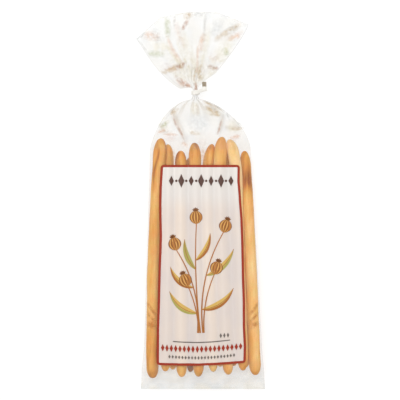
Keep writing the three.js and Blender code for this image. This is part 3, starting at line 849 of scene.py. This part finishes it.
def stick_mesh(stick, seed, around, rings, rear):
    """Points, faces and bake of one breadstick: a hand-rolled rod with round ends."""
    foot_y, head_y = stick["foot"][1], stick["head"][1]
    rng = random.Random(seed)
    shift = rng.uniform(0, 100)
    foot_end, head_end = rng.uniform(*FOOT_ROUNDING), rng.uniform(*HEAD_ROUNDING)
    full = max(stick["radii"])
    droop = 0 if rear else foot_droop(stick, foot_end)
    points, bake = [], []
    for ring in range(rings + 1):
        crowded = 0.5 - 0.5 * math.cos(math.pi * ring / rings)
        share = lerp(ring / rings, crowded, RING_CROWDING)
        y = lerp(foot_y, head_y, share)
        # It is thicker and thinner in places about 22 mm long, and wanders a little.
        radius = lerp(*stick["radii"], smooth_step(0.05, 0.95, share))
        radius *= 1 + 0.05 * noise.noise((shift, y / 22, 0.3))
        foot_share, head_share = clamp01((y - foot_y) / foot_end), clamp01((head_y - y) / head_end)
        radius *= min(rounding(foot_share, END_POWER), rounding(head_share, END_POWER))
        x = stick_middle(stick, y) + 0.35 * noise.noise((shift, y / 45, 7.7))
        z = nest_height(x, y, full)
        if rear:
            z = 2 * middle_height(clamp_body(y)) - z
        else:
            z -= read_thirds(stick["sink"], share)
            z -= droop * (1 - smooth_step(0, FOOT_DROOP_LENGTH, y - foot_y))
        tip = 1 - min(1.0, min(y - foot_y, head_y - y) / TIP_BAKE_LENGTH)
        toasted = 0
        if stick is FRONT_STICKS[-1]:
            toasted = TOASTED_BAKE * smooth_step(*(head_y - away for away in TOASTED_FROM_TIP), y)
        ring_bake = read_thirds(stick["bake"], share) + toasted + TIP_BAKE * tip ** 1.5
        for k in range(around):
            angle = 2 * math.pi * k / around
            across, up = math.cos(angle), math.sin(angle)
            # Lumps about 17 mm long, and finer ones of 6 mm.
            lumps = 0.05 * noise.noise((shift + across * 1.4, y / 17, up * 1.4))
            grain = 0.025 * noise.noise((shift + across * 4.5, y / 6, up * 4.5))
            r = radius * (1 + lumps + grain)
            # Painted shade along a dark line on the first stick, in a shallow groove.
            shade_line = 0
            if stick is FRONT_STICKS[0] and up > 0:
                gap, where = distance_to_line(x + r * across, y, SHADE_LINE)
                shade_line = math.exp(-(gap / SHADE_LINE_WIDTH) ** 2) * math.sin(math.pi * (0.1 + 0.75 * where))
                r -= SHADE_LINE_GROOVE * shade_line
            points.append((x + r * across, y, z + r * up))
            uneven = BAKE_UNEVENNESS * noise.noise((shift, y / 48, up * 0.6))
            bake.append(ring_bake + SHADE_LINE_DARKENING * shade_line + uneven)
    return points, bake, grid_faces(rings, around, True)


def merge_tips(piece):
    """Closes each stick's tips, where the end rings have shrunk to a point."""
    mesh = bmesh.new()
    mesh.from_mesh(piece.data)
    bmesh.ops.remove_doubles(mesh, verts=mesh.verts, dist=1e-6)
    mesh.to_mesh(piece.data)
    mesh.free()


def make_sticks(crust):
    for name, sticks, seed, around, rings, rear in (
        ("breadsticks_front", FRONT_STICKS, 100, 48, 150, False),
        ("breadsticks_rear", REAR_STICKS, 150, 30, 90, True),
    ):
        points, bake, faces = [], [], []
        for index, stick in enumerate(sticks):
            more_points, more_bake, more_faces = stick_mesh(stick, seed + index, around, rings, rear)
            add_part(points, faces, more_points, more_faces)
            bake += more_bake
        piece = make_piece(name, points, faces, {"bake": bake}, crust, "breadsticks")
        merge_tips(piece)
        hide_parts("bag")


# The printed field and what is printed on it

# The middle of the border line down each side: height, then distance from the
# bag's middle. The film wavers over the sticks, so the printed line does too.
LEFT_LINE = ((27, -32.9), (12, -33.8), (-4, -34.2), (-14, -34.1), (-30, -33.7), (-44, -34.1),
             (-54, -34.6), (-84, -35.3), (-108, -36.1), (-139, -36.3))
RIGHT_LINE = ((27, 31.4), (16, 31.2), (6, 32.1), (-4, 32.7), (-14, 33.6), (-34, 34.4),
              (-64, 35), (-84, 35.7), (-106, 35.8), (-124, 36.6), (-139, 36.2))


def line_at(table, y):
    """Reads a table of heights, highest first."""
    for (high, a), (low, b) in zip(table, table[1:]):
        if y >= low:
            return lerp(a, b, clamp01((high - y) / (high - low)))
    return table[-1][1]


def panel_edge(side, y):
    """Outer edge of the printed border at a height, on the left (0) or the right (1)."""
    if side == 0:
        return line_at(LEFT_LINE, y) - BORDER_WIDTH / 2
    return line_at(RIGHT_LINE, y) + BORDER_WIDTH / 2


SAG_FROM_Y = -95                # the printed field is drawn up at its foot, below this height
SAG_MIDDLE_X = -4               # and least of all here


def foot_sag(x, y):
    """How far a point of the field's lowest quarter is drawn up, most of all at the right."""
    share = smooth_step(SAG_FROM_Y, PANEL_BOTTOM_Y, y)
    left, right = max(0, SAG_MIDDLE_X - x) / 30, max(0, x - SAG_MIDDLE_X) / 38
    return share * (0.5 * left ** 2 + 2.2 * right ** 1.5 - 0.1)


def drape(x, y, height):
    """A point at a height over the front film."""
    return (x, y, front_height(x, y) + height)


def drape_print(x, y, height):
    """A printed point, drawn up with the foot of the field."""
    return drape(x, y + foot_sag(x, y), height)


# How warm, and how lit by painted light, the white ink is over each front stick.
STICK_TONE_AND_LIGHT = (0.3, 0.35, 1.0, 0.45, 0.85, 0.4, 0.25, 0.3)


def print_tone_and_light(x, y):
    """Warmth and painted light of the field at a point: most over the middle of a stick."""
    tone_and_light = 0.0
    for stick, strength in zip(FRONT_STICKS, STICK_TONE_AND_LIGHT):
        across = (x - stick_middle(stick, y)) / STICK_BAND_HALF_WIDTH
        # It comes and goes along the stick, over about 60 mm.
        fading = 0.75 + 0.5 * noise.noise((strength * 9, y / 60, 2.2))
        tone_and_light = max(tone_and_light, strength * fading * math.exp(-across ** 4))
    return tone_and_light


PANEL_GRID = (90, 120)          # faces across and along
HEAD_WHITENESS = 0.8
HEAD_Y = (-14, 8)               # the field turns whiter between these heights


def make_panel(ink):
    columns, rows = PANEL_GRID
    margin = BORDER_WIDTH / 2
    points, contact, head = [], [], []
    for row in range(rows + 1):
        y = lerp(PANEL_BOTTOM_Y + margin, PANEL_TOP_Y - margin, row / rows)
        for column in range(columns + 1):
            x = lerp(panel_edge(0, y) + margin, panel_edge(1, y) - margin, column / columns)
            points.append(drape_print(x, y, PRINT_HEIGHT))
            contact.append(print_tone_and_light(x, y))
            head.append(HEAD_WHITENESS * smooth_step(*HEAD_Y, y))
    looks = {"contact": contact, "head": head}
    piece = make_piece("label_field", points, grid_faces(rows, columns, False), looks, ink, "label_panel")
    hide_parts("label_panel")


OUTLINE_STEP = 1.1              # points along the border are about this far apart


def border_outline():
    """The outer edge of the border, anticlockwise from the lower left, with round corners."""
    radius = CORNER_RADIUS
    corners = (
        (0, PANEL_BOTTOM_Y, 180), (1, PANEL_BOTTOM_Y, 270), (1, PANEL_TOP_Y, 0), (0, PANEL_TOP_Y, 90))
    arcs = []
    for side, corner_y, start in corners:
        cy = corner_y + radius if corner_y == PANEL_BOTTOM_Y else corner_y - radius
        cx = panel_edge(side, cy) + (radius if side == 0 else -radius)
        angles = [math.radians(start + 15 * k) for k in range(7)]
        arcs.append([(cx + radius * math.cos(a), cy + radius * math.sin(a)) for a in angles])
    outline = []
    for k, arc in enumerate(arcs):
        (ax, ay), (bx, by) = arc[-1], arcs[(k + 1) % 4][0]
        count = round(math.hypot(bx - ax, by - ay) / OUTLINE_STEP)
        outline += arc
        for j in range(1, count):
            y = lerp(ay, by, j / count)
            x = lerp(ax, bx, j / count) if k % 2 == 0 else panel_edge(1 if k == 1 else 0, y)
            outline.append((x, y))
    return outline


def inset_outline(outline, margin):
    """Moves every point of a closed outline inwards along its own normal."""
    count = len(outline)
    moved = []
    for k in range(count):
        (ax, ay), (bx, by) = outline[k - 1], outline[(k + 1) % count]
        length = math.hypot(bx - ax, by - ay)
        moved.append((
            outline[k][0] - margin * (by - ay) / length,
            outline[k][1] + margin * (bx - ax) / length,
        ))
    return moved


def make_border(ink):
    lanes = 4
    outline = border_outline()
    points = []
    for lane in range(lanes + 1):
        inset = inset_outline(outline, BORDER_WIDTH * lane / lanes)
        points += [drape_print(x, y, INK_HEIGHT) for x, y in inset]
    faces = grid_faces(lanes, len(outline), True)
    piece = make_piece("label_border_line", points, faces, {}, ink, "label_border")
    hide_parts("label_border")


def right_of(path, k):
    """Unit direction to the right of a path at one of its points."""
    (ax, ay), (bx, by) = path[max(0, k - 1)], path[min(len(path) - 1, k + 1)]
    length = math.hypot(bx - ax, by - ay)
    return (by - ay) / length, -(bx - ax) / length


def point_towards(start, angle, length):
    """The point at a distance from another, in a direction given in degrees."""
    a = math.radians(angle)
    return start[0] + length * math.cos(a), start[1] + length * math.sin(a)


def bowed_line(start, end, bow, steps=12):
    """Points of a shallow arc between two ends, bowed to its left."""
    rx, ry = right_of((start, end), 0)
    points = []
    for t in (k / steps for k in range(steps + 1)):
        points.append((lerp(start[0], end[0], t) - rx * bow * 4 * t * (1 - t),
                       lerp(start[1], end[1], t) - ry * bow * 4 * t * (1 - t)))
    return points


def leaf_widths(width, steps, skew, fullness):
    """Half widths along a leaf with pointed ends, widest a little below its middle."""
    return [0.02 + width / 2 * math.sin(math.pi * (k / steps) ** skew) ** fullness
            for k in range(steps + 1)]


class Print:
    """Flat printed shapes in one ink, draped over the film as one piece."""

    def __init__(self, surface):
        self.surface = surface
        self.points = []
        self.faces = []
        self.cover = []

    def strip(self, path, widths, lanes=4):
        """A band along a path, with a half width at each of its points."""
        last = len(path) - 1
        points = []
        for k, (x, y) in enumerate(path):
            rx, ry = right_of(path, k)
            # A soft ink fades out towards the ends and the sides.
            ends = smooth_step(0, 0.36, min(k, last - k) / last)
            for lane in range(lanes + 1):
                across = 1 - 2 * lane / lanes
                offset = widths[k] * across
                points.append(self.surface(x - rx * offset, y - ry * offset))
                self.cover.append(ends * (1 - across ** 2) ** 1.5)
        add_part(self.points, self.faces, points, grid_faces(last, lanes, False))

    def leaf(self, start, angle, length, width):
        """A straight lens-shaped leaf that grows from a point in a direction."""
        path = bowed_line(start, point_towards(start, angle, length), 0)
        self.strip(path, leaf_widths(width, len(path) - 1, 0.85, 0.9))

    def line(self, start, end, width, bow, steps):
        self.strip(bowed_line(start, end, bow, steps), [width / 2] * (steps + 1), lanes=2)

    def lozenge(self, x, y, width, height):
        shares = [k / 8 for k in range(9)]
        self.strip([(x, y + height * (t - 0.5)) for t in shares],
                   [0.01 + width / 2 * (1 - abs(2 * t - 1)) for t in shares])

    def lozenge_row(self, count, middle, reach, lift, width, height):
        """A row of lozenges, its two ends a little higher than its middle."""
        for k in range(count):
            at = 2 * k / (count - 1) - 1
            self.lozenge(middle[0] + reach * at, middle[1] + lift * at ** 2, width, height)

    def dot(self, x, y, radius):
        angles = [math.pi * (k / 10 - 0.5) for k in range(11)]
        self.strip([(x, y + radius * math.sin(a)) for a in angles],
                   [0.01 + radius * math.cos(a) for a in angles])

    def make(self, name, ink):
        return make_piece(name, self.points, self.faces, {"cover": self.cover}, ink, "print_ink")


def on_panel(layer):
    """Where a printed point of one layer of ink lies, each layer over the one before."""
    return lambda x, y: drape_print(x, y, INK_HEIGHT + INK_LAYER * layer)


STEM_STEPS = 36
BLADE_STEPS = 24
SEED_HEAD_STEPS = 16
SEED_HEAD_LENGTH = 11.5
SEED_HEAD_WIDTH = 10.6


def blade(prints, start, angle, length, width, bow, under, over):
    """A long leaf in one ink, with one half of it in another and a brown midrib."""
    path = bowed_line(start, point_towards(start, angle, length), bow, BLADE_STEPS)
    full = leaf_widths(width, BLADE_STEPS, 0.8, 0.85)
    prints[under].strip(path, full)
    half = []
    for k, (x, y) in enumerate(path):
        rx, ry = right_of(path, k)
        aside = math.copysign(1, bow) * full[k] * 0.62
        half.append((x - rx * aside, y - ry * aside))
    prints[over].strip(half, [0.38 * wide for wide in full])
    prints["brown"].strip(path, [0.2 + 0.12 * wide / width for wide in full], lanes=2)


def seed_head(prints, base, angle, length, width):
    """A round ribbed seed head with a small crown of points."""
    a = math.radians(angle)
    along, aside = (math.cos(a), math.sin(a)), (-math.sin(a), math.cos(a))
    shares = [k / SEED_HEAD_STEPS for k in range(SEED_HEAD_STEPS + 1)]

    def reach(t):
        return width / 2 * math.sin(math.pi * t) ** 0.6

    def place(t, across):
        return tuple(base[i] + along[i] * length * t + aside[i] * reach(t) * across for i in (0, 1))

    prints["tan"].strip([place(t, 0) for t in shares], [0.05 + reach(t) for t in shares])
    for k in range(-4, 5):
        rib = [place(lerp(0.06, 0.94, t), 0.24 * k) for t in shares]
        widths = [0.1 + 0.22 * math.sin(math.pi * t) for t in shares]
        prints["umber" if k % 2 == 0 else "light_gold"].strip(rib, widths, lanes=2)
    for k in range(-2, 3):
        prints["umber"].leaf(place(0.95, 0), angle - 30 * k, 3.2, 1.5)


# Inks, in the order in which they are printed: the material's name, its colour and
# how much it covers.
INKS = {
    "gold": ("ink_gold", "#D9B35E", 0.85),
    "olive": ("ink_olive", "#AFA75A", 0.85),
    "brown": ("ink_brown", "#A9692F", 0.9),
    "tan": ("ink_tan", "#B4763A", 0.95),
    "light_gold": ("ink_light_gold", "#E2B267", 0.9),
    "umber": ("ink_umber", "#7E4E2A", 0.9),
    "red": ("ink_brick_red", "#98331E", 1.0),
    "dark": ("ink_dark_brown", "#5A4038", 0.95),
    "grey": ("ink_grey_brown", "#6E6660", 0.9),
}

# The bunch printed on the field: stems, from foot to seed head, with their bow and
# the direction of the head; then long leaves, each with its stem and how far up it
# that grows, its direction, length, width, bow and two inks.
STEMS = (
    dict(foot=(-3, -111), head=(-20.5, -42), bow=-6, direction=106),
    dict(foot=(1.5, -111), head=(18.5, -27), bow=7, direction=72),
    dict(foot=(-0.6, -111), head=(-4, -20), bow=2, direction=93),
    dict(foot=(-2, -111), head=(-11, -72), bow=-2, direction=112),
    dict(foot=(2.4, -111), head=(11, -62), bow=3, direction=72),
)
BLADES = (
    (0, 0.22, 142, 30, 5.6, 4.5, "gold", "olive"),
    (0, 0.52, 138, 26, 5, 4, "gold", "brown"),
    (1, 0.22, 34, 32, 5.6, -4.5, "gold", "brown"),
    (1, 0.55, 44, 32, 5.2, -4, "gold", "olive"),
    (2, 0.58, 110, 27, 4.6, 3, "olive", "gold"),
    (2, 0.66, 62, 26, 4.6, -3, "gold", "brown"),
)
ORNAMENT_Y = 16.2               # middle of the ornament at the head of the field
ORNAMENT_STEP = 8.3             # from one of its lozenges to the next


def make_prints(inks):
    prints = {name: Print(on_panel(layer)) for layer, name in enumerate(INKS)}

    stems = [bowed_line(stem["foot"], stem["head"], stem["bow"], STEM_STEPS) for stem in STEMS]
    tapering = [lerp(0.6, 0.42, k / STEM_STEPS) for k in range(STEM_STEPS + 1)]
    for stem, path in zip(STEMS, stems):
        prints["brown"].strip(path, tapering, lanes=2)
        seed_head(prints, stem["head"], stem["direction"], SEED_HEAD_LENGTH, SEED_HEAD_WIDTH)
    for number, share, *leaf in BLADES:
        blade(prints, stems[number][round(STEM_STEPS * share)], *leaf)

    # A dark ornament across the head of the field: small and large lozenges in turn,
    # and dots between them.
    for k in range(-3, 4):
        width, height = (4.2, 8.5) if k % 2 else (5.2, 11.5)
        prints["dark"].lozenge(ORNAMENT_STEP * k, ORNAMENT_Y, width, height)
        if k < 3:
            prints["dark"].dot(ORNAMENT_STEP * (k + 0.5), ORNAMENT_Y, 1.0)

    # At the foot a thin rule, a row of red lozenges and one of small grey ones, and
    # three more over the right end of the rule.
    prints["grey"].line((-23.6, -118.2), (24.2, -117.6), 0.9, bow=-1, steps=40)
    prints["red"].lozenge_row(19, (0.4, -124.6), 32.6, 1, 2.9, 6)
    prints["grey"].lozenge_row(21, (0.5, -131.8), 27, 0.8, 1.9, 3.2)
    for k in range(3):
        prints["grey"].lozenge(lerp(16.4, 22.4, k / 2), -113.6 + 0.2 * k, 2.1, 4.4)

    for name, shapes in prints.items():
        shapes.make(f"print_{name}", inks[name])


# Strokes at the sides: distance from the middle and height at each end, and width.
SIDE_STROKES = (
    ((47.4, -84), (37.6, -97), 3.4),
    ((47.6, -92), (37.6, -103), 3.4),
    ((47.8, -102), (37.4, -105), 7),
)
SIDE_STROKES_MIDDLE_Y = -100
SIDE_PRINT_HEIGHT = 0.25        # soft prints lie this far over the film
DOME_PRINT_HEIGHT = 0.3
FAN_PRINT_HEIGHT = 0.25


def make_side_prints(ink):
    """Soft strokes printed round both sides of the bag, over the outer sticks."""
    shapes = Print(lambda x, y: drape(x, y, SIDE_PRINT_HEIGHT))
    middle = middle_x(SIDE_STROKES_MIDDLE_Y)
    for mirror in (-1, 1):
        for (outer, top), (inner, bottom), width in SIDE_STROKES:
            start, end = (middle + mirror * outer, top), (middle + mirror * inner, bottom)
            path = bowed_line(start, end, mirror * 0.8)
            shapes.strip(path, [width / 2] * len(path), lanes=6)
    shapes.make("print_sides", ink)


# Faint print, such as shows behind folds and gloss, and grey painted shade along
# the film's edges and folds: colour and cover of each tone.
FAINT_TONES = {
    "cream": ("#DBCB8E", 0.17),
    "rose": ("#DDB9AC", 0.2),
    "cool": ("#B4BABA", 0.2),
    "peach": ("#DDAA82", 0.36),
    "ochre": ("#BF9A58", 0.42),
    "sage": ("#AEB582", 0.36),
    "brown": ("#A86A38", 0.5),
    # Grey: painted shade along the film's edges and folds.
    "grey": ("#94928A", 0.25),
}
# Its marks on the dome and the flared top: tone, points along the mark, and its width.
DOME_MARKS = (
    ("cream", ((-36, 60), (-26, 68)), 14),
    ("cream", ((20, 60), (34, 64)), 15),
    ("cream", ((2, 76), (20, 72)), 10),
    ("cream", ((-6, 84), (-5, 70)), 9),
    ("cool", ((-12, 68), (8, 60)), 22),
    ("rose", ((-32, 50.5), (-20, 54)), 8),
    ("rose", ((22, 50), (34, 54)), 8),
    ("rose", ((-3, 50), (4, 46)), 10),
    ("ochre", ((-26.5, 71.5), (-18, 77.4)), 4.6),
    ("brown", ((-24.2, 72.6), (-21.6, 64.5), (-17, 56.6), (-12.4, 46.4)), 3.2),
    ("sage", ((-35.8, 62), (-27.5, 65)), 5),
    ("peach", ((-33, 55.4), (-18, 54.8)), 2.8),
    ("peach", ((-17.6, 48.2), (-10.6, 45.4)), 5),
    ("ochre", ((0.4, 83.2), (9, 80), (20, 73.6)), 3.6),
    ("grey", ((1, 84), (9, 80.8), (20, 74.4)), 2),
    ("peach", ((-23.2, 28), (-22.8, 43)), 4),
    ("peach", ((2, 28), (1.6, 45)), 5),
    ("ochre", ((1.6, 78.4), (16, 73.4)), 5),
    ("ochre", ((5, 72.4), (17, 71)), 3.8),
    ("grey", ((20.6, 73.6), (25, 66.6)), 3),
    ("grey", ((26, 70.6), (37.4, 59)), 2.4),
    ("ochre", ((24.8, 59), (35, 60.8)), 4.2),
    ("peach", ((23.4, 52.2), (33.8, 54)), 3.4),
    ("ochre", ((-10.4, 56.6), (0.2, 55.6)), 4.6),
    ("brown", ((17.2, 68.5), (15.4, 60.5), (13.2, 54.5)), 2.4),
    ("peach", ((-37.6, 56.6), (-29.4, 59)), 4),
)
FAN_MARKS = (
    ("cream", ((-42, 129), (-24, 128)), 14),
    ("cream", ((-20, 148), (-12, 126), (-7, 108)), 13),
    ("cream", ((8, 150), (3, 128), (-1, 106)), 9),
    ("cream", ((30, 140), (16, 124), (4, 108)), 14),
    ("cream", ((-32, 124), (-16, 112), (-7, 98)), 12),
    ("cream", ((-28, 112), (-12, 100)), 10),
    ("cream", ((-2, 98), (16, 112)), 14),
    ("cream", ((-6, 122), (-3, 94)), 16),
    ("cream", ((-31, 134), (-24, 122), (-8, 103)), 3.4),
    ("cream", ((-22, 138), (-16, 122), (-6, 104)), 3.4),
    ("cream", ((12, 116), (32, 119)), 5),
    ("rose", ((-23, 154), (-18, 138), (-13, 126)), 8),
    ("rose", ((-34, 114), (-16, 108)), 9),
    ("rose", ((4, 122), (16, 118)), 9),
    ("cool", ((-40, 146), (-33, 130)), 10),
    ("cool", ((16, 154), (10, 136)), 13),
    ("cool", ((28, 150), (24, 138)), 12),
    ("grey", ((34, 148), (44, 146.6)), 4),
    ("grey", ((-53.4, 134), (-44, 121)), 4.4),
    ("grey", ((-53, 136), (-46, 141.6)), 3.6),
    ("peach", ((-50, 139.4), (-33.5, 136.6)), 10),
    ("sage", ((-28.6, 156.5), (-28, 134)), 7),
    ("grey", ((-22.1, 156.5), (-22.6, 144)), 3),
    ("ochre", ((-15, 153), (-6.4, 157.8)), 7.4),
    ("brown", ((-16.4, 142), (-10.8, 152.4)), 4.6),
    ("grey", ((-7, 158), (2, 154.6)), 6),
    ("grey", ((4, 159), (3, 148), (2.2, 134)), 3.4),
    ("peach", ((2.6, 142.2), (-1.4, 122.6)), 6.6),
    ("ochre", ((8.8, 132.6), (21.8, 141.1), (36, 149.4)), 7),
    ("peach", ((21, 134), (37.4, 141.6)), 8),
    ("sage", ((17.8, 128.6), (25.2, 119.2)), 7),
    ("sage", ((-47.4, 123.6), (-29.6, 122.2)), 7.4),
    ("peach", ((-29.9, 140.2), (-23.4, 125.6), (-14.9, 113.5)), 4.6),
    ("ochre", ((-37, 104.8), (-24.7, 110.8), (-11.6, 114.4)), 7.4),
    ("brown", ((-22.6, 111.2), (-11.8, 114.6)), 6),
    ("brown", ((4, 113.4), (16.4, 109.2)), 5.4),
    ("brown", ((-23.8, 105.4), (-15.9, 98.6), (-7.6, 92.8)), 5.4),
    ("peach", ((-20.6, 102), (-8.6, 93.2)), 8),
    ("brown", ((-5.2, 99.8), (-4.9, 90.6)), 5),
    ("brown", ((-5, 97), (-4.9, 92)), 3.4),
    ("ochre", ((0.2, 116), (-1.6, 98)), 8),
    ("ochre", ((-5.6, 113), (-5, 97)), 4.4),
    ("peach", ((-3, 133), (-3.4, 104)), 3),
)


def on_dome(x, y):
    return drape(x, y, DOME_PRINT_HEIGHT)


def on_fan(x, y):
    """A printed point on the front of the flared top, from its place seen from above."""
    across, up = x - NECK[0], y - NECK[1]
    angle = math.atan2(across, up)
    share = min(0.985, max(0.07, math.hypot(across, up) / mouth_distance(angle)))
    left, right = fan_angle(share, 0), fan_angle(share, 1)
    along = min(0.99, max(0.01, (angle - left) / (right - left)))
    return fan_point(along, share, True, FAN_PRINT_HEIGHT)[0]


def smooth_path(corners, steps):
    """A smooth curve through two points or more."""
    path, spans = [], len(corners) - 1
    for k in range(steps + 1):
        at = k / steps * spans
        low = min(spans - 1, int(at))
        t = at - low
        four = corners[max(0, low - 1)], corners[low], corners[low + 1], corners[min(spans, low + 2)]
        path.append(tuple(
            0.5 * (2 * a + (b - before) * t + (2 * before - 5 * a + 4 * b - after) * t ** 2
                   + (3 * a - before - 3 * b + after) * t ** 3)
            for before, a, b, after in zip(*four)))
    return path


MARK_STEPS = 16


def make_faint_prints():
    """Pale printed marks, and grey painted shade along edges and folds, over the dome and the flared top.
    """
    inks = {tone: printing_ink(f"ink_faint_{tone}", hex_colour, cover, soft=True)
            for tone, (hex_colour, cover) in FAINT_TONES.items()}
    swelling = [0.6 + 0.4 * math.sin(math.pi * k / MARK_STEPS) for k in range(MARK_STEPS + 1)]
    for area, surface, marks in (("dome", on_dome, DOME_MARKS), ("top", on_fan, FAN_MARKS)):
        for tone, ink in inks.items():
            shapes = Print(surface)
            for wanted, corners, width in marks:
                if wanted == tone:
                    path = smooth_path(corners, MARK_STEPS)
                    shapes.strip(path, [width / 2 * swell for swell in swelling], lanes=6)
            if shapes.points:
                shapes.make(f"faint_{area}_{tone}", ink)


# The tie round the neck

TIE_WIDTH = 3.4
BAND_WIDTH = TIE_WIDTH * 0.96
TIE_THICKNESS = 0.5
TIE_CLEARANCE = 0.32
BAND_MIDDLE_Y = 89.9


def ribbon(stations, thickness):
    """A ribbon with rounded edges along stations of middle, width and thickness directions."""
    angles = [2 * math.pi * k / 16 for k in range(16)]
    section = [(signed_power(math.cos(a), 0.35), thickness / 2 * signed_power(math.sin(a), 0.6))
               for a in angles]
    points = []
    for middle, wide, thick, width in stations:
        points += [tuple(middle + wide * (u * width / 2) + thick * v) for u, v in section]
    count, rows = len(section), len(stations) - 1
    faces = grid_faces(rows, count, True)
    faces.append(tuple(reversed(range(count))))
    faces.append(tuple(rows * count + k for k in range(count)))
    return points, faces


def band_stations():
    """The ribbon round the neck, which laps over itself for about a third of a turn."""
    neck = Vector(NECK)
    inner = NECK_RADIUS + TIE_CLEARANCE + TIE_THICKNESS / 2
    stations = []
    for k in range(121):
        share = k / 120
        angle = math.radians(lerp(-400, 78, share))
        lapped = smooth_step(math.radians(-110), math.radians(-42), angle)
        outwards = Vector((math.sin(angle), 0, math.cos(angle)))
        middle = Vector((neck.x, BAND_MIDDLE_Y + 0.4 * share, neck.z))
        middle += outwards * (inner + (TIE_THICKNESS + TIE_CLEARANCE) * lapped)
        stations.append((middle, Vector((0, 1, 0)), outwards, BAND_WIDTH))
    return stations


def end_stations(start, end, turned, width):
    """A short straight end of the ribbon; `turned` gives its width direction along the way."""
    along = (end - start).normalized()
    stations = []
    for k in range(25):
        share = k / 24
        wide = turned(share)
        wide = (wide - along * wide.dot(along)).normalized()
        stations.append((start.lerp(end, share), wide, along.cross(wide).normalized(), width))
    return stations


DARK_END_Y = (95, 95.5)         # the end that stands up turns dark between these heights


def make_tie(finish):
    # One end points to the right, the other stands up beside the neck.
    side = end_stations(
        Vector((NECK[0] - 0.3, BAND_MIDDLE_Y + 0.3, NECK[2] + 3.6)), Vector((4.6, 93.4, NECK[2] + 6.2)),
        lambda t: Vector((-0.25 * t, 1, 0.35 * math.sin(math.pi * t))), BAND_WIDTH)
    upper = end_stations(
        Vector((2.9, 92.2, NECK[2] + 5.7)), Vector((2.5, 99.1, NECK[2] + 6.6)),
        lambda t: Vector((-1, -0.08, -0.3 * math.sin(math.pi * t))), TIE_WIDTH + 0.2)
    points, faces, dark = [], [], []
    for stations in (band_stations(), side, upper):
        more_points, more_faces = ribbon(stations, TIE_THICKNESS * 0.9)
        add_part(points, faces, more_points, more_faces)
        dark += [smooth_step(*DARK_END_Y, y) if stations is upper else 0.0 for _, y, _ in more_points]
    piece = make_piece("neck_tie_ribbon", points, faces, {"dark_end": dark}, finish, "neck_tie")
    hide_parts("neck_tie")


# Camera, light and floor

PIXEL = 0.84                    # millimetres of the object in one pixel of the picture
PICTURE_SIDE = 400
PICTURE_MIDDLE = (201.15, 200.25)   # the pixel that the bag's middle falls on
SENSOR = 36.0
WORLD_STRENGTH = 0.45
# The rest in metres.
CAMERA_DISTANCE = 1.9           # over the middle of the bag's depth
MIDDLE_HEIGHT = 0.012
FLOOR_REACH = 3.0
FLOOR_Z = -0.0008               # a little below the back film


def make_camera():
    data = bpy.data.cameras.new("camera")
    data.sensor_width = SENSOR
    data.lens = SENSOR * CAMERA_DISTANCE / (PICTURE_SIDE * PIXEL * MM)
    data.clip_end = 20
    camera = bpy.data.objects.new("camera", data)
    camera.location = (
        (PICTURE_SIDE / 2 - PICTURE_MIDDLE[0]) * PIXEL * MM,
        (PICTURE_MIDDLE[1] - PICTURE_SIDE / 2) * PIXEL * MM,
        MIDDLE_HEIGHT + CAMERA_DISTANCE,
    )
    bpy.context.collection.objects.link(camera)
    bpy.context.scene.camera = camera


def make_light(name, place, size, power):
    """A rectangular softbox that points at the bag."""
    data = bpy.data.lights.new(name, "AREA")
    data.shape = "RECTANGLE"
    data.size, data.size_y = size
    data.energy = power
    light = bpy.data.objects.new(name, data)
    light.location = place
    light.rotation_euler = (-Vector(place)).to_track_quat("-Z", "Y").to_euler()
    bpy.context.collection.objects.link(light)


def make_studio():
    mesh = bpy.data.meshes.new("floor")
    corners = [(FLOOR_REACH * x, FLOOR_REACH * y, 0) for x, y in ((-1, -1), (1, -1), (1, 1), (-1, 1))]
    mesh.from_pydata(corners, [], [(0, 1, 2, 3)])
    mesh.materials.append(light_table())
    floor = bpy.data.objects.new("floor", mesh)
    floor.location.z = FLOOR_Z
    bpy.context.collection.objects.link(floor)

    world = bpy.data.worlds.new("soft_light")
    world.use_nodes = True
    world.node_tree.nodes["Background"].inputs["Color"].default_value = (1, 1, 1, 1)
    world.node_tree.nodes["Background"].inputs["Strength"].default_value = WORLD_STRENGTH
    bpy.context.scene.world = world
    make_light("softbox_above", (-0.1, 0.3, 1.5), (0.8, 0.8), 13)
    make_light("softbox_left", (-0.9, 0.1, 0.9), (0.6, 1.2), 3)
    make_light("softbox_right", (0.95, -0.1, 0.95), (0.6, 1.2), 3)

    scene = bpy.context.scene
    scene.view_settings.view_transform = "Standard"
    scene.cycles.transparent_max_bounces = 32


inks = {name: printing_ink(*ink) for name, ink in INKS.items()}
make_camera()
make_film(clear_film())
make_sticks(baked_crust())
make_panel(field_ink())
make_border(inks["red"])
make_prints(inks)
make_side_prints(printing_ink("ink_side_brown", "#B8692C", 0.36, soft=True))
make_faint_prints()
make_tie(tie_ribbon_finish())
make_studio()
